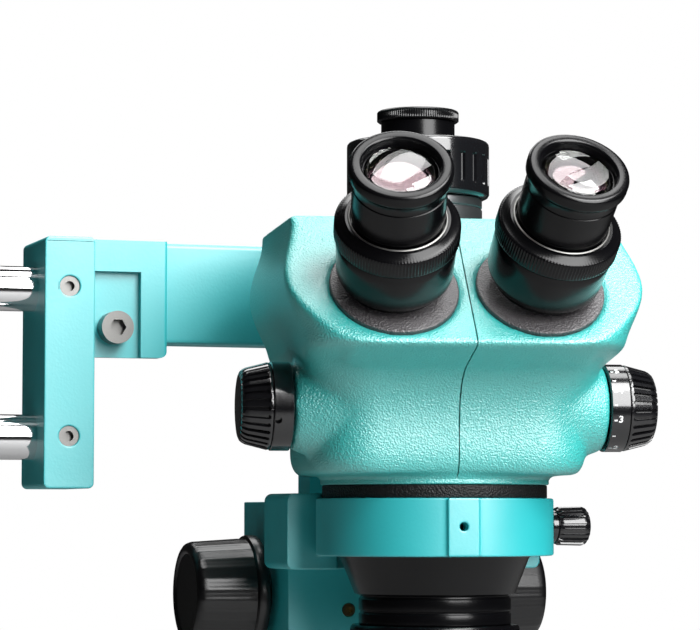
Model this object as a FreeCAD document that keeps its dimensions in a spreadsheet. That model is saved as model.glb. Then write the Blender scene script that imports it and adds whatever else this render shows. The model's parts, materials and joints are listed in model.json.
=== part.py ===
"""Trinocular stereo microscope head on a twin-rod boom: head, eyepieces, camera port, ring holder,
rack-and-pinion focus, arm and end block. Millimetres, +Z up, the operator sits on the -Y side.
Origin: centre of the lower end of the ring-light collar, on the optical axis."""
import FreeCAD, Part
import math
import os
import re

import Sketcher
from FreeCAD import Placement, Rotation, Vector

doc = FreeCAD.newDocument("stereo_microscope")
sheet = doc.addObject("Spreadsheet::Sheet", "Sizes")

# Driving dimensions. Heights named "up" count from the top of the holder ring.
SIZES = dict(
    collar_height=13.6, collar_radius=32.0, collar_bore=26.5, collar_edge=0.8,
    throat_radius=28.8, throat_height=11.6, throat_bore=24.0, throat_lip=3.0,
    cone_height=14.3, cone_step=1.5, cone_small_radius=30.4,
    ring_height=21.5, ring_radius=45.0, ring_bore=38.0, ring_fit=0.1,
    flange_height=5.0, flange_radius=42.6, flange_play=0.8, throat_inner=30.0,
    lip_height=3.5, lip_radius=43.2,
    lock_drop=10.5, lock_radius=7.6, lock_length=13.0, lock_collar=3.2, lock_stem=3.0, lock_stand=0.8,
    lock_tip_length=2.2, lock_flutes=18,
    boss_angle=7.0, boss_width=11.8, boss_step=1.2, boss_hole=1.5,
    head_turn=-9.6, head_wall=3.5, seam_gap=0.3,
    body_half_width=51.5, body_front=49.0, body_rear=48.0,
    crown_up=54.5, crown_lip=0.82, crown_half_width=58.5, shoulder_up=74.0, shoulder_half_width=65.5,
    top_up=103.0, top_half_width=61.5, head_rear=64.0, corner=24.0,
    face_elevation=41.75, face_offset=97.6,
    disc_offset=26.7, disc_radius=23.4, disc_thickness=2.5, disc_fit=0.3, disc_up_slope=13.6, disc_rim=3.0,
    disc_proud=0.5, tube_eccentric=2.0, tube_gap=1.6, tube_rise=3.5, tube_foot=18.0, tube_spread=4.8,
    tube_radius=21.0, tube_flare=0.6, tube_length=19.0, dial_radius=22.4, dial_length=9.0, dial_sink=3.0,
    neck_radius=16.8, eye_length=19.0, rim_radius=18.3, rim_length=5.8, lens_radius=13.6, lens_sink=5.0,
    dial_fit=0.3, eye_fit=0.3, eye_stem=14.0, stem_play=1.0, stem_wall=2.0, stem_depth=6.0,
    zoom_forward=24.0, zoom_up=33.7, zoom_stand=0.3, zoom_length=19.2, zoom_radius=16.4,
    zoom_end_radius=13.6, zoom_skirt=7.5, zoom_shaft_radius=4.0, zoom_neck=16.0, zoom_neck_root=24.0,
    zoom_neck_length=24.8, zoom_cap=4.0, zoom_flutes=32, flute_radius=0.8,
    port_behind=33.0, port_base_radius=25.2, port_base_height=14.3, port_ring_radius=28.0,
    port_ring_height=22.7, port_ring_edge=1.5, port_tube_radius=14.5, port_tube_show=8.0, port_cap_radius=16.1,
    port_cap_height=4.4, port_wall=2.5, port_fit=0.3, port_slots=26, slot_width=2.2, slot_depth=1.3,
    yoke_half_width=52.0, yoke_front=21.0, yoke_rear=51.0, yoke_above=2.0, yoke_below=5.5, yoke_round=3.0,
    housing_half_width=42.0, housing_step=1.0, housing_height=74.0,
    slide_fit=0.1, gib_thickness=3.0, cover_thickness=4.0,
    focus_stand=5.5, focus_drop=36.5, focus_shaft_radius=4.0, shaft_fit=0.05,
    bush_radius=5.2, bush_flange_radius=14.0, bush_flange=2.6, bush_play=1.0, pinion_bay=11.0,
    knob_gap=0.4, knob_length=29.3, knob_radius=21.9, knob_collar_radius=23.2, knob_end_radius=20.4,
    knob_collar=5.0, knob_cap=6.0, knob_edge=2.5, gear_module=1.0, pinion_teeth=14, pinion_width=8.0, backlash=0.3,
    column_half_width=20.0, column_front=91.5, column_thickness=16.0, column_below=28.0,
    rack_half_width=5.0, rack_fit=0.1, rack_depth=3.0, rack_reach=35.5, rack_end=2.0,
    arm_up=62.3, arm_height=40.7, arm_right=22.0, arm_reach=113.2, arm_round=2.0,
    bolt_spread=12.0, bolt_radius=3.0, bolt_head=5.0, bolt_head_length=6.0, bolt_sink=8.0, bolt_grip=20.0,
    bracket_width=31.2, bracket_depth=6.5, bracket_drop=6.0, bracket_round=1.5,
    recess_width=20.2, recess_drop=12.5, recess_depth=3.5,
    clamp_inset=9.7, clamp_rise=11.7, clamp_radius=4.0, clamp_head=6.5, clamp_head_length=8.0, clamp_grip=11.0,
    block_width=20.3, block_half_depth=20.7, block_step=0.3, block_height=99.2, block_round=2.3,
    rod_radius=9.0, rod_shoulder=1.0, rod_fit=0.1, rod_length=110.0, rod_seat_wall=4.0,
    upper_rod_drop=19.6, lower_rod_rise=20.5, rod_chamfer=1.0, rod_tap=3.4, rod_tap_depth=16.0,
    grub_radius=4.0, grub_sink=1.0, grub_hex=2.0, grub_hex_depth=3.0,
    screw_radius=2.0, screw_head=3.5, screw_head_length=4.0, hole_fit=0.2, holder_spread=28.0, holder_drop=9.0,
    holder_pitch=11.0, holder_grip=12.0, holder_bite=8.0, cover_inset=8.0, cover_head=2.2, cover_bite=3.8,
    tension_spread=17.0, tension_drop=42.5, tension_radius=2.5, tension_length=9.0, tension_show=0.3,
    tension_hex=1.25, chassis_thickness=4.0, chassis_inset=15.0, barrel_offset=14.0, barrel_radius=11.0,
    barrel_wall=1.5, barrel_height=30.0, objective_wall=1.0, carriage_thickness=3.0, sleeve_play=0.15,
    cam_travel=8.0, cam_radius=8.0, prism_size=20.0, prism_drop=33.0,
)
for row, (alias, value) in enumerate(SIZES.items(), 1):
    sheet.set("A%d" % row, alias)
    sheet.set("B%d" % row, str(value))
    sheet.setAlias("B%d" % row, alias)
probe = doc.addObject("App::FeaturePython", "probe")
probe.addProperty("App::PropertyFloat", "value")
doc.recompute()

WORDS = re.compile(r"\b(%s)\b" % "|".join(sorted(SIZES, key=len, reverse=True)))
RING_BOTTOM = "(collar_height + throat_height + cone_height)"
RING_TOP = "(collar_height + throat_height + cone_height + ring_height)"
FLANGE_TOP = "(%s + flange_height)" % RING_TOP
LIP_TOP = "(%s + lip_height)" % FLANGE_TOP
HEAD_TOP = "(%s + top_up)" % RING_TOP
ZOOM_HEIGHT = "(%s + zoom_up)" % RING_TOP
ZOOM_INNER = "(crown_half_width + zoom_stand)"
ZOOM_OUTER = "(%s + zoom_length)" % ZOOM_INNER
LOCK_HEIGHT = "(%s - lock_drop)" % RING_TOP
HOUSING_TOP = "(%s - housing_step)" % RING_TOP
HOUSING_BOTTOM = "(%s - housing_height)" % HOUSING_TOP
FOCUS_Y = "(column_front - focus_stand)"
FOCUS_Z = "(%s - focus_drop)" % HOUSING_TOP
TENSION_Z = "(%s - tension_drop)" % HOUSING_TOP
KNOB_INNER = "(housing_half_width + bush_flange + knob_gap)"
KNOB_OUTER = "(%s + knob_length)" % KNOB_INNER
WAY_FRONT = "(column_front - slide_fit)"
WAY_REAR = "(column_front + column_thickness + slide_fit)"
WAY_HALF = "(column_half_width + gib_thickness + slide_fit)"
COVER_SEAT = "(%s + cover_thickness)" % WAY_REAR
RACK_LOW, RACK_HIGH = "(%s - rack_reach)" % FOCUS_Z, "(%s + rack_reach)" % FOCUS_Z
ARM_AXIS = "(column_front + column_thickness / 2)"
ARM_BOTTOM = "(%s + arm_up)" % RING_TOP
ARM_TOP = "(%s + arm_height)" % ARM_BOTTOM
BRACKET_FRONT = "(column_front - bracket_depth)"
BRACKET_BOTTOM = "(%s - bracket_drop)" % ARM_BOTTOM
CLAMP_X, CLAMP_Z = "(clamp_inset - arm_reach)", "(%s + clamp_rise)" % BRACKET_BOTTOM
BLOCK_LEFT, BLOCK_RIGHT = "(-arm_reach - block_width)", "(-arm_reach)"
BLOCK_FRONT = "(%s - block_half_depth)" % ARM_AXIS
BLOCK_TOP = "(%s + block_step)" % ARM_TOP
BLOCK_BOTTOM = "(%s - block_height)" % BLOCK_TOP
ROD_HEIGHTS = (("upper_rod", "(%s - upper_rod_drop)" % BLOCK_TOP), ("lower_rod", "(%s + lower_rod_rise)" % BLOCK_BOTTOM))
PORT_BASE_TOP = "(%s + port_base_height)" % HEAD_TOP
PORT_RING_TOP = "(%s + port_ring_height)" % PORT_BASE_TOP
PORT_TUBE_TOP = "(%s + port_tube_show)" % PORT_RING_TOP
TUBE_BORE = "(eye_stem + stem_play)"
CROWN_FRONT = ("((face_offset - crown_up * sin(face_elevation * 1 deg)) / cos(face_elevation * 1 deg)"
               " + crown_lip)")
CHASSIS_LOW = "(%s + head_wall)" % LIP_TOP
CHASSIS_TOP = "(%s + chassis_thickness)" % CHASSIS_LOW
BARREL_TOP = "(%s + barrel_height)" % CHASSIS_TOP
PITCH_RADIUS = "(gear_module * pinion_teeth / 2)"
TURNS = dict(z=Rotation(), x=Rotation(Vector(0, 1, 0), 90), y=Rotation(Vector(1, 0, 0), -90))
nodes = []


def cells(expression):
    """Writes the sheet's words in an expression as references to its cells."""
    return WORDS.sub(r"Sizes.\1", str(expression))


def val(expression):
    """The present value of an expression in the sheet's words."""
    probe.setExpression("value", cells(expression))
    doc.recompute([probe])
    return float(probe.value)


def bind(thing, **sizes):
    for name, expression in sizes.items():
        thing.setExpression(name.replace("__", "."), cells(expression))
    return thing


def at(thing, x="0", y="0", z="0"):
    return bind(thing, Placement__Base__x=x, Placement__Base__y=y, Placement__Base__z=z)


def rod(radius, start, end, x="0", y="0", z="0", along="z"):
    """A cylinder between two places on the axis that along names; the other two places are fixed."""
    thing = doc.addObject("Part::Cylinder", "rod")
    thing.Placement = Placement(Vector(), TURNS[along])
    bind(thing, Radius=radius, Height="(%s) - (%s)" % (end, start))
    place = dict(x=x, y=y, z=z)
    place[along] = start
    return at(thing, **place)


def block(x0, x1, y0, y1, z0, z1):
    thing = doc.addObject("Part::Box", "block")
    bind(thing, Length="(%s) - (%s)" % (x1, x0), Width="(%s) - (%s)" % (y1, y0),
         Height="(%s) - (%s)" % (z1, z0))
    return at(thing, x0, y0, z0)


def cut(base, *tools):
    for tool in tools:
        thing = doc.addObject("Part::Cut", "cut")
        thing.Base, thing.Tool = base, tool
        base = thing
    return base


def fuse(*things):
    thing = doc.addObject("Part::MultiFuse", "fuse")
    thing.Shapes = list(things)
    thing.Refine = True
    return thing


def group(*things):
    thing = doc.addObject("Part::Compound", "group")
    thing.Links = list(things)
    return thing


def rounded(thing, radius, choose):
    """Rounds the edges that choose picks by their middle point and direction."""
    doc.recompute()
    picked = [n for n, edge in enumerate(thing.Shape.Edges, 1) if choose(edge)]
    fillet = doc.addObject("Part::Fillet", "fillet")
    fillet.Base = thing
    fillet.Edges = [(n, val(radius), val(radius)) for n in picked]
    return fillet


def polygon(sketch, points):
    """A closed outline whose corners are held by distances from the sketch's origin."""
    corners = [(val(a), val(b)) for a, b in points]
    for n, corner in enumerate(corners):
        following = corners[(n + 1) % len(corners)]
        sketch.addGeometry(Part.LineSegment(Vector(*corner, 0), Vector(*following, 0)), False)
    for n in range(len(corners)):
        sketch.addConstraint(Sketcher.Constraint("Coincident", n, 2, (n + 1) % len(corners), 1))
    for n, corner in enumerate(corners):
        for kind, axis, place, expression in (("DistanceX", -2, corner[0], points[n][0]),
                                              ("DistanceY", -1, corner[1], points[n][1])):
            if abs(place) < 1e-9:
                sketch.addConstraint(Sketcher.Constraint("PointOnObject", n, 1, axis))
                continue
            index = sketch.addConstraint(Sketcher.Constraint(kind, -1, 1, n, 1, place))
            sketch.setExpression("Constraints[%d]" % index, cells(expression))


def body_with_sketch(name, plane, points):
    body = doc.addObject("PartDesign::Body", name + "_body")
    sketch = body.newObject("Sketcher::SketchObject", name + "_outline")
    origin = [f for f in body.Origin.OriginFeatures if f.Role == plane][0]
    sketch.AttachmentSupport = [(origin, "")]
    sketch.MapMode = "FlatFace"
    polygon(sketch, points)
    return body, sketch


def turned(name, points):
    """A turned piece: its half section, radius then height, spun about Z."""
    body, sketch = body_with_sketch(name, "XZ_Plane", points)
    spin = body.newObject("PartDesign::Revolution", name + "_spin")
    spin.Profile = sketch
    spin.ReferenceAxis = (sketch, ["V_Axis"])
    spin.Angle = 360
    return body


def keep(name, thing, place=None):
    """Names a finished sub-part, stands it in its place and lists it for writing."""
    if place is not None:
        doc.recompute()
        for path, _ in thing.ExpressionEngine:
            if path.lstrip(".").startswith("Placement"):
                thing.setExpression(path, None)
        thing.Placement = place.multiply(thing.Placement)
    thing.Label = name
    nodes.append(thing)
    return thing


def lying(body, along, x="0", y="0", z="0"):
    """Lays a turned body along X or Y, or its mirror, with its own zero at a place."""
    body.Placement = Placement(Vector(), along)
    return at(body, x, y, z)


HEAD_PLACE = Placement(Vector(), Rotation(Vector(0, 0, 1), val("head_turn")))


def in_head():
    return Placement(HEAD_PLACE)


def on_face(side):
    """The frame of one eyepiece disc: origin on the sloped face, Z square to it, Y up the slope."""
    lean = Rotation(Vector(1, 0, 0), 90 - val("face_elevation"))
    radians = math.radians(val("face_elevation"))
    out, up = val("face_offset"), val("disc_up_slope")
    y = -out * math.cos(radians) + up * math.sin(radians)
    z = out * math.sin(radians) + up * math.cos(radians) + val(RING_TOP)
    return in_head().multiply(Placement(Vector(side * val("disc_offset"), y, z), lean))


def on_tube(side):
    """The frame of one eyepiece tube: Z along the eyepiece axis, zero on the sloped face."""
    stand = Placement(Vector(0, val("tube_eccentric"), 0), Rotation(Vector(0, 1, 0), side * val("tube_spread")))
    return on_face(side).multiply(stand)


def spun(tool, count):
    """Copies of a tool, evenly round Z."""
    return Part.makeCompound([tool.rotated(Vector(), Vector(0, 0, 1), 360.0 * n / count) for n in range(int(count))])


def fluted(body, count, start, end):
    """Cuts round-bottomed flutes lengthways between two points given as radius and height."""
    (r0, z0), (r1, z1) = [(val(r), val(z)) for r, z in (start, end)]
    one = Part.makeCylinder(val("flute_radius"), math.hypot(r1 - r0, z1 - z0), Vector(r0, 0, z0), Vector(r1 - r0, 0, z1 - z0))
    tool = doc.addObject("Part::Feature", "flutes")
    tool.Shape = spun(one.fuse(Part.makeSphere(val("flute_radius"), Vector(r0, 0, z0))), count)
    return cut(body, tool)


SIDES = (("left", -1), ("right", 1))
LOCK_FACE = "(ring_radius + lock_stand)"
HOLDER_SCREWS = [(x, z) for x in ("-holder_spread", "holder_spread")
                 for z in ("%s - holder_drop" % RING_TOP, "%s - holder_drop - holder_pitch" % RING_TOP)]
TENSION_PLACES = ("-tension_spread", "tension_spread")
BOLT_PLACES = ("-bolt_spread", "bolt_spread")


def make_ring_holder():
    """One casting: the clamping ring, its front boss and the rear yoke that the carriage bolts to."""
    past = 1.0
    ring = rod("ring_radius", RING_BOTTOM, RING_TOP)
    yoke = block("-yoke_half_width", "yoke_half_width", "yoke_front", "yoke_rear",
                 "%s - yoke_below" % RING_BOTTOM, "%s + yoke_above" % RING_TOP)
    yoke = rounded(yoke, "yoke_round", lambda e: e.Length > val("yoke_front")
                   and abs(e.tangentAt(e.FirstParameter).y) > 0.9)
    aside = Placement(Vector(), Rotation(Vector(0, 0, 1), -val("boss_angle")))
    boss = doc.addObject("Part::Feature", "boss")
    reach, wide = val("ring_radius + boss_step"), val("boss_width")
    boss.Shape = Part.makeBox(wide, reach - val("ring_bore") - past, val("ring_height"),
                              Vector(-wide / 2, -reach, val(RING_BOTTOM)))
    boss.Placement = aside
    hole = doc.addObject("Part::Feature", "boss_hole_tool")
    hole.Shape = Part.makeCylinder(val("boss_hole"), reach - val("ring_bore") + 2 * past,
                                   Vector(0, -reach - past, val(LOCK_HEIGHT)), Vector(0, 1, 0))
    hole.Placement = aside
    holder = cut(fuse(ring, yoke, boss),
                 rod("ring_bore + ring_fit / 2", "%s - yoke_below - 1" % RING_BOTTOM, "%s + 0.01" % RING_TOP),
                 rod("flange_radius + flange_play", RING_TOP, "%s + yoke_above + 1" % RING_TOP),
                 rod("lock_stem + hole_fit", "0", "yoke_half_width + 1", along="x", z=LOCK_HEIGHT),
                 hole)
    for x, z in HOLDER_SCREWS:
        holder = cut(holder, rod("screw_radius", "yoke_rear - holder_bite - 1", "yoke_rear + 1", x=x, z=z, along="y"))
    keep("ring_holder", holder)


def make_lock_knob():
    """Fluted screw that clamps the head in the ring, with its nylon tip."""
    grip = [("0", "ring_bore + lock_tip_length"), ("lock_stem", "ring_bore + lock_tip_length"),
            ("lock_stem", LOCK_FACE), ("lock_radius - 1.2", LOCK_FACE),
            ("lock_radius - 1.2", "%s + lock_collar" % LOCK_FACE), ("lock_radius", "%s + lock_collar" % LOCK_FACE),
            ("lock_radius", "%s + lock_collar + lock_length - 1" % LOCK_FACE),
            ("lock_radius - 1", "%s + lock_collar + lock_length" % LOCK_FACE),
            ("0", "%s + lock_collar + lock_length" % LOCK_FACE)]
    knob = fluted(turned("lock", grip), val("lock_flutes"),
                  ("lock_radius", "%s + lock_collar + flute_radius" % LOCK_FACE),
                  ("lock_radius", "%s + lock_collar + lock_length + 1" % LOCK_FACE))
    keep("lock_screw", lying(knob, Rotation(Vector(0, 1, 0), 90), "0", "0", LOCK_HEIGHT))
    keep("lock_tip", rod("lock_stem - hole_fit", "ring_bore + ring_fit / 2", "ring_bore + lock_tip_length",
                         z=LOCK_HEIGHT, along="x"))


def make_carriage():
    """Focus housing with its slide way, rear cover, gibs, shaft bushes and screws."""
    head_seat = "(yoke_rear + holder_grip)"
    housing = cut(
        block("-housing_half_width", "housing_half_width", "yoke_rear", WAY_REAR, HOUSING_BOTTOM, HOUSING_TOP),
        block("-" + WAY_HALF, WAY_HALF, WAY_FRONT, WAY_REAR + " + 1", HOUSING_BOTTOM + " - 1", HOUSING_TOP + " + 1"),
        block("-pinion_width / 2 - 1", "pinion_width / 2 + 1", FOCUS_Y + " - pinion_bay", "column_front",
              FOCUS_Z + " - pinion_bay", FOCUS_Z + " + pinion_bay"),
        rod("bush_radius", "-housing_half_width - 1", "housing_half_width + 1", y=FOCUS_Y, z=FOCUS_Z, along="x"))
    for x in TENSION_PLACES:
        housing = cut(housing, rod("tension_radius + hole_fit / 2", "yoke_rear - 1", "yoke_rear + tension_length + 1",
                                   x=x, z=TENSION_Z, along="y"))
    for x, z in HOLDER_SCREWS:
        housing = cut(housing,
                      rod("screw_radius + hole_fit", "yoke_rear - 1", "column_front + 1", x=x, z=z, along="y"),
                      rod("screw_head + hole_fit", head_seat, WAY_REAR + " + 1", x=x, z=z, along="y"))
    keep("focus_housing", housing)
    keep("holder_screws", group(*[
        fuse(rod("screw_radius", "yoke_rear - holder_bite", head_seat, x=x, z=z, along="y"),
             rod("screw_head", head_seat, head_seat + " + screw_head_length", x=x, z=z, along="y"))
        for x, z in HOLDER_SCREWS]))
    cover = block("-housing_half_width", "housing_half_width", WAY_REAR, COVER_SEAT, HOUSING_BOTTOM, HOUSING_TOP)
    corners = [(x, z) for x in ("cover_inset - housing_half_width", "housing_half_width - cover_inset")
               for z in (HOUSING_BOTTOM + " + cover_inset", HOUSING_TOP + " - cover_inset")]
    for x, z in corners:
        cover = cut(cover, rod("screw_radius + hole_fit", WAY_REAR + " - 1", COVER_SEAT + " + 1", x=x, z=z, along="y"))
    keep("housing_cover", cover)
    keep("cover_screws", group(*[
        fuse(rod("screw_head", COVER_SEAT, COVER_SEAT + " + cover_head", x=x, z=z, along="y"),
             rod("screw_radius", COVER_SEAT + " - cover_bite", COVER_SEAT, x=x, z=z, along="y"))
        for x, z in corners]))
    for name, inner, outer in (("gib_left", "-" + WAY_HALF, "-(column_half_width + slide_fit)"),
                               ("gib_right", "column_half_width + slide_fit", WAY_HALF)):
        keep(name, block(inner, outer, WAY_FRONT, WAY_REAR, HOUSING_BOTTOM + " + 1", HOUSING_TOP + " - 1"))
    keep("tension_screws", group(*[
        cut(rod("tension_radius", "yoke_rear - tension_show", "yoke_rear + tension_length", x=x, z=TENSION_Z, along="y"),
            rod("tension_hex", "yoke_rear - 1", "yoke_rear + 2", x=x, z=TENSION_Z, along="y"))
        for x in TENSION_PLACES]))
    for name, side in SIDES:
        inner, face, outer = WAY_HALF + " + bush_play", "housing_half_width", "housing_half_width + bush_flange"
        bush = [("focus_shaft_radius + shaft_fit", inner), ("bush_radius", inner), ("bush_radius", face),
                ("bush_flange_radius", face), ("bush_flange_radius", outer), ("focus_shaft_radius + shaft_fit", outer)]
        keep("focus_bush_" + name, lying(turned("bush_" + name, bush), Rotation(Vector(0, 1, 0), 90 * side),
                                         "0", FOCUS_Y, FOCUS_Z))


def make_focus_knobs():
    """Cross shaft, pinion and the two coarse focus knobs."""
    keep("focus_shaft", rod("focus_shaft_radius", "knob_cap - " + KNOB_OUTER, KNOB_OUTER + " - knob_cap",
                            y=FOCUS_Y, z=FOCUS_Z, along="x"))
    for name, side in SIDES:
        collar = "(%s + knob_collar)" % KNOB_INNER
        points = [("focus_shaft_radius + 0.02", KNOB_INNER), ("knob_collar_radius", KNOB_INNER),
                  ("knob_collar_radius", collar), ("knob_radius", collar + " + 1"),
                  ("knob_end_radius", KNOB_OUTER + " - knob_edge"), ("knob_end_radius - knob_edge", KNOB_OUTER),
                  ("0", KNOB_OUTER), ("0", KNOB_OUTER + " - knob_cap"),
                  ("focus_shaft_radius + 0.02", KNOB_OUTER + " - knob_cap")]
        keep("focus_knob_" + name, lying(turned("knob_" + name, points), Rotation(Vector(0, 1, 0), 90 * side),
                                         "0", FOCUS_Y, FOCUS_Z))


def tooth(module, backlash):
    """Half section of one rack tooth: points along the pitch line and across it."""
    half = math.pi * module / 4 - backlash / 2
    slope = math.tan(math.radians(20))
    return [(-half - 1.25 * module * slope, -1.25 * module), (-half + module * slope, module),
            (half - module * slope, module), (half + 1.25 * module * slope, -1.25 * module)]


def make_gearing():
    """The pinion on the cross shaft and the rack let into the column, 20 degree teeth in mesh."""
    module, teeth = val("gear_module"), int(val("pinion_teeth"))
    pitch, slack = val(PITCH_RADIUS), val("backlash")
    root, tip = pitch - 1.25 * module, pitch + module
    half_angle = math.pi / 2 / teeth - slack / pitch / 4
    points = []
    for n in range(teeth):
        middle = 2 * math.pi * n / teeth
        for radius, angle in ((root, half_angle * 1.75), (pitch, half_angle), (tip, half_angle * 0.42)):
            points.append((radius, middle - angle))
        for radius, angle in ((tip, half_angle * 0.42), (pitch, half_angle), (root, half_angle * 1.75)):
            points.append((radius, middle + angle))
    corners = [Vector(0, r * math.cos(a), r * math.sin(a)) for r, a in points]
    outline = Part.Face(Part.makePolygon(corners + corners[:1]))
    width = val("pinion_width")
    gear = outline.extrude(Vector(width, 0, 0))
    gear = gear.cut(Part.makeCylinder(val("focus_shaft_radius") + 0.02, width, Vector(), Vector(1, 0, 0)))
    pinion = doc.addObject("Part::Feature", "pinion")
    pinion.Shape = gear
    pinion.Placement = Placement(Vector(-width / 2, val(FOCUS_Y), val(FOCUS_Z)), Rotation())
    keep("focus_pinion", pinion)

    line, height = pitch + val(FOCUS_Y), val(FOCUS_Z)
    step = math.pi * module
    low, high = val(RACK_LOW), val(RACK_HIGH)
    first = math.ceil((low + val("rack_end") - height - step / 2) / step)
    last = math.floor((high - val("rack_end") - height - step / 2) / step)
    profile = [(line + 1.25 * module, low)]
    for n in range(first, last + 1):
        centre = height + (n + 0.5) * step
        profile += [(line - across, centre + along) for along, across in tooth(module, slack)]
    back = line + 1.25 * module + val("rack_depth")
    profile += [(line + 1.25 * module, high), (back, high), (back, low)]
    corners = [Vector(-val("rack_half_width"), y, z) for y, z in profile]
    bar = Part.Face(Part.makePolygon(corners + corners[:1])).extrude(Vector(2 * val("rack_half_width"), 0, 0))
    rack = doc.addObject("Part::Feature", "rack")
    rack.Shape = bar
    keep("focus_rack", rack)


def make_column_and_arm():
    """The fixed column, the horizontal arm above it, the clamp bracket and its bolt."""
    pitch_line = "(%s + %s)" % (FOCUS_Y, PITCH_RADIUS)
    column = cut(
        block("-column_half_width", "column_half_width", "column_front", "column_front + column_thickness",
              HOUSING_BOTTOM + " - column_below", ARM_BOTTOM),
        block("-rack_half_width - rack_fit", "rack_half_width + rack_fit", "column_front - 1",
              pitch_line + " + 1.25 * gear_module + rack_depth", RACK_LOW, RACK_HIGH),
        block("-rack_half_width - rack_fit", "rack_half_width + rack_fit", "column_front - 1",
              pitch_line + " + 1.3 * gear_module", HOUSING_BOTTOM + " - column_below - 1", RACK_LOW))
    for x in BOLT_PLACES:
        column = cut(column, rod("bolt_radius", ARM_BOTTOM + " - bolt_grip - 2", ARM_BOTTOM + " + 1", x=x, y=ARM_AXIS))
    keep("column", column)
    arm = block("-arm_reach", "arm_right", "column_front", "column_front + column_thickness", ARM_BOTTOM, ARM_TOP)
    arm = rounded(arm, "arm_round", lambda e: abs(e.tangentAt(e.FirstParameter).x) > 0.9)
    bolt_seat = "(%s - bolt_sink)" % ARM_TOP
    for x in BOLT_PLACES:
        arm = cut(arm, rod("bolt_radius + hole_fit", ARM_BOTTOM + " - 1", ARM_TOP + " + 1", x=x, y=ARM_AXIS),
                  rod("bolt_head + 0.5", bolt_seat, ARM_TOP + " + 1", x=x, y=ARM_AXIS))
    arm = cut(arm, rod("clamp_radius", "column_front - 1", "column_front + clamp_grip + 1", x=CLAMP_X, z=CLAMP_Z,
                       along="y"))
    keep("arm", arm)
    keep("column_bolts", group(*[
        fuse(rod("bolt_radius", ARM_BOTTOM + " - bolt_grip", bolt_seat, x=x, y=ARM_AXIS),
             cut(rod("bolt_head", bolt_seat, bolt_seat + " + bolt_head_length", x=x, y=ARM_AXIS),
                 rod("bolt_head / 2", bolt_seat + " + bolt_head_length / 2", ARM_TOP, x=x, y=ARM_AXIS)))
        for x in BOLT_PLACES]))
    bracket = block(BLOCK_RIGHT, "bracket_width - arm_reach", BRACKET_FRONT, "column_front", BRACKET_BOTTOM, ARM_TOP)
    bracket = rounded(bracket, "bracket_round", lambda e: e.BoundBox.YMax < val(BRACKET_FRONT) + 0.01
                      and e.BoundBox.XMin > val(BLOCK_RIGHT) + 0.01)
    recess = block(BLOCK_RIGHT + " - 1", "recess_width - arm_reach", BRACKET_FRONT + " - 1",
                   BRACKET_FRONT + " + recess_depth", BRACKET_BOTTOM + " - 1", ARM_TOP + " - recess_drop")
    bracket = cut(bracket, recess, rod("clamp_radius + hole_fit", BRACKET_FRONT + " - 1", "column_front + 1",
                                       x=CLAMP_X, z=CLAMP_Z, along="y"))
    keep("arm_bracket", bracket)
    seat = "(%s + recess_depth)" % BRACKET_FRONT
    bolt = fuse(rod("clamp_radius", seat, "column_front + clamp_grip", x=CLAMP_X, z=CLAMP_Z, along="y"),
                rod("clamp_head", seat + " - clamp_head_length", seat, x=CLAMP_X, z=CLAMP_Z, along="y"))
    hexagon = doc.addObject("Part::Prism", "hexagon")
    hexagon.Polygon = 6
    hexagon.Placement = Placement(Vector(), TURNS["y"])
    bind(hexagon, Circumradius="clamp_head * 0.53", Height="clamp_head_length / 2 + 0.5")
    at(hexagon, CLAMP_X, seat + " - clamp_head_length - 0.5", CLAMP_Z)
    keep("clamp_bolt", cut(bolt, hexagon))


def make_end_block():
    """The end block that grips the two shouldered rods with grub screws."""
    middle, seat = "((%s + %s) / 2)" % (BLOCK_LEFT, BLOCK_RIGHT), "(%s - rod_seat_wall)" % BLOCK_RIGHT
    end = block(BLOCK_LEFT, BLOCK_RIGHT, BLOCK_FRONT, ARM_AXIS + " + block_half_depth", BLOCK_BOTTOM, BLOCK_TOP)
    end = rounded(end, "block_round", lambda e: abs(e.tangentAt(e.FirstParameter).y) > 0.9)
    for name, z in ROD_HEIGHTS:
        end = cut(end, rod("rod_radius - rod_shoulder + rod_fit / 2", BLOCK_LEFT + " - 1", seat, y=ARM_AXIS, z=z, along="x"),
                  rod("grub_radius", BLOCK_FRONT + " - 1", ARM_AXIS, x=middle, z=z, along="y"))
    keep("end_block", end)
    grubs = []
    for name, z in ROD_HEIGHTS:
        tip, spigot = "rod_length - rod_chamfer", "rod_seat_wall - block_width"
        outline = [("0", spigot), ("rod_radius - rod_shoulder", spigot), ("rod_radius - rod_shoulder", "0"),
                   ("rod_radius", "0"), ("rod_radius", tip), ("rod_radius - rod_chamfer", "rod_length"),
                   ("rod_tap", "rod_length"), ("rod_tap", "rod_length - rod_tap_depth"),
                   ("0", "rod_length - rod_tap_depth")]
        keep(name, lying(turned(name, outline), Rotation(Vector(0, 1, 0), -90), BLOCK_LEFT, ARM_AXIS, z))
        front, nose = BLOCK_FRONT + " + grub_sink", ARM_AXIS + " - rod_radius + rod_shoulder"
        grubs.append(cut(rod("grub_radius", front, nose, x=middle, z=z, along="y"),
                         rod("grub_hex", front + " - 1", front + " + grub_hex_depth", x=middle, z=z, along="y")))
    keep("rod_grub_screws", group(*grubs))


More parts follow.
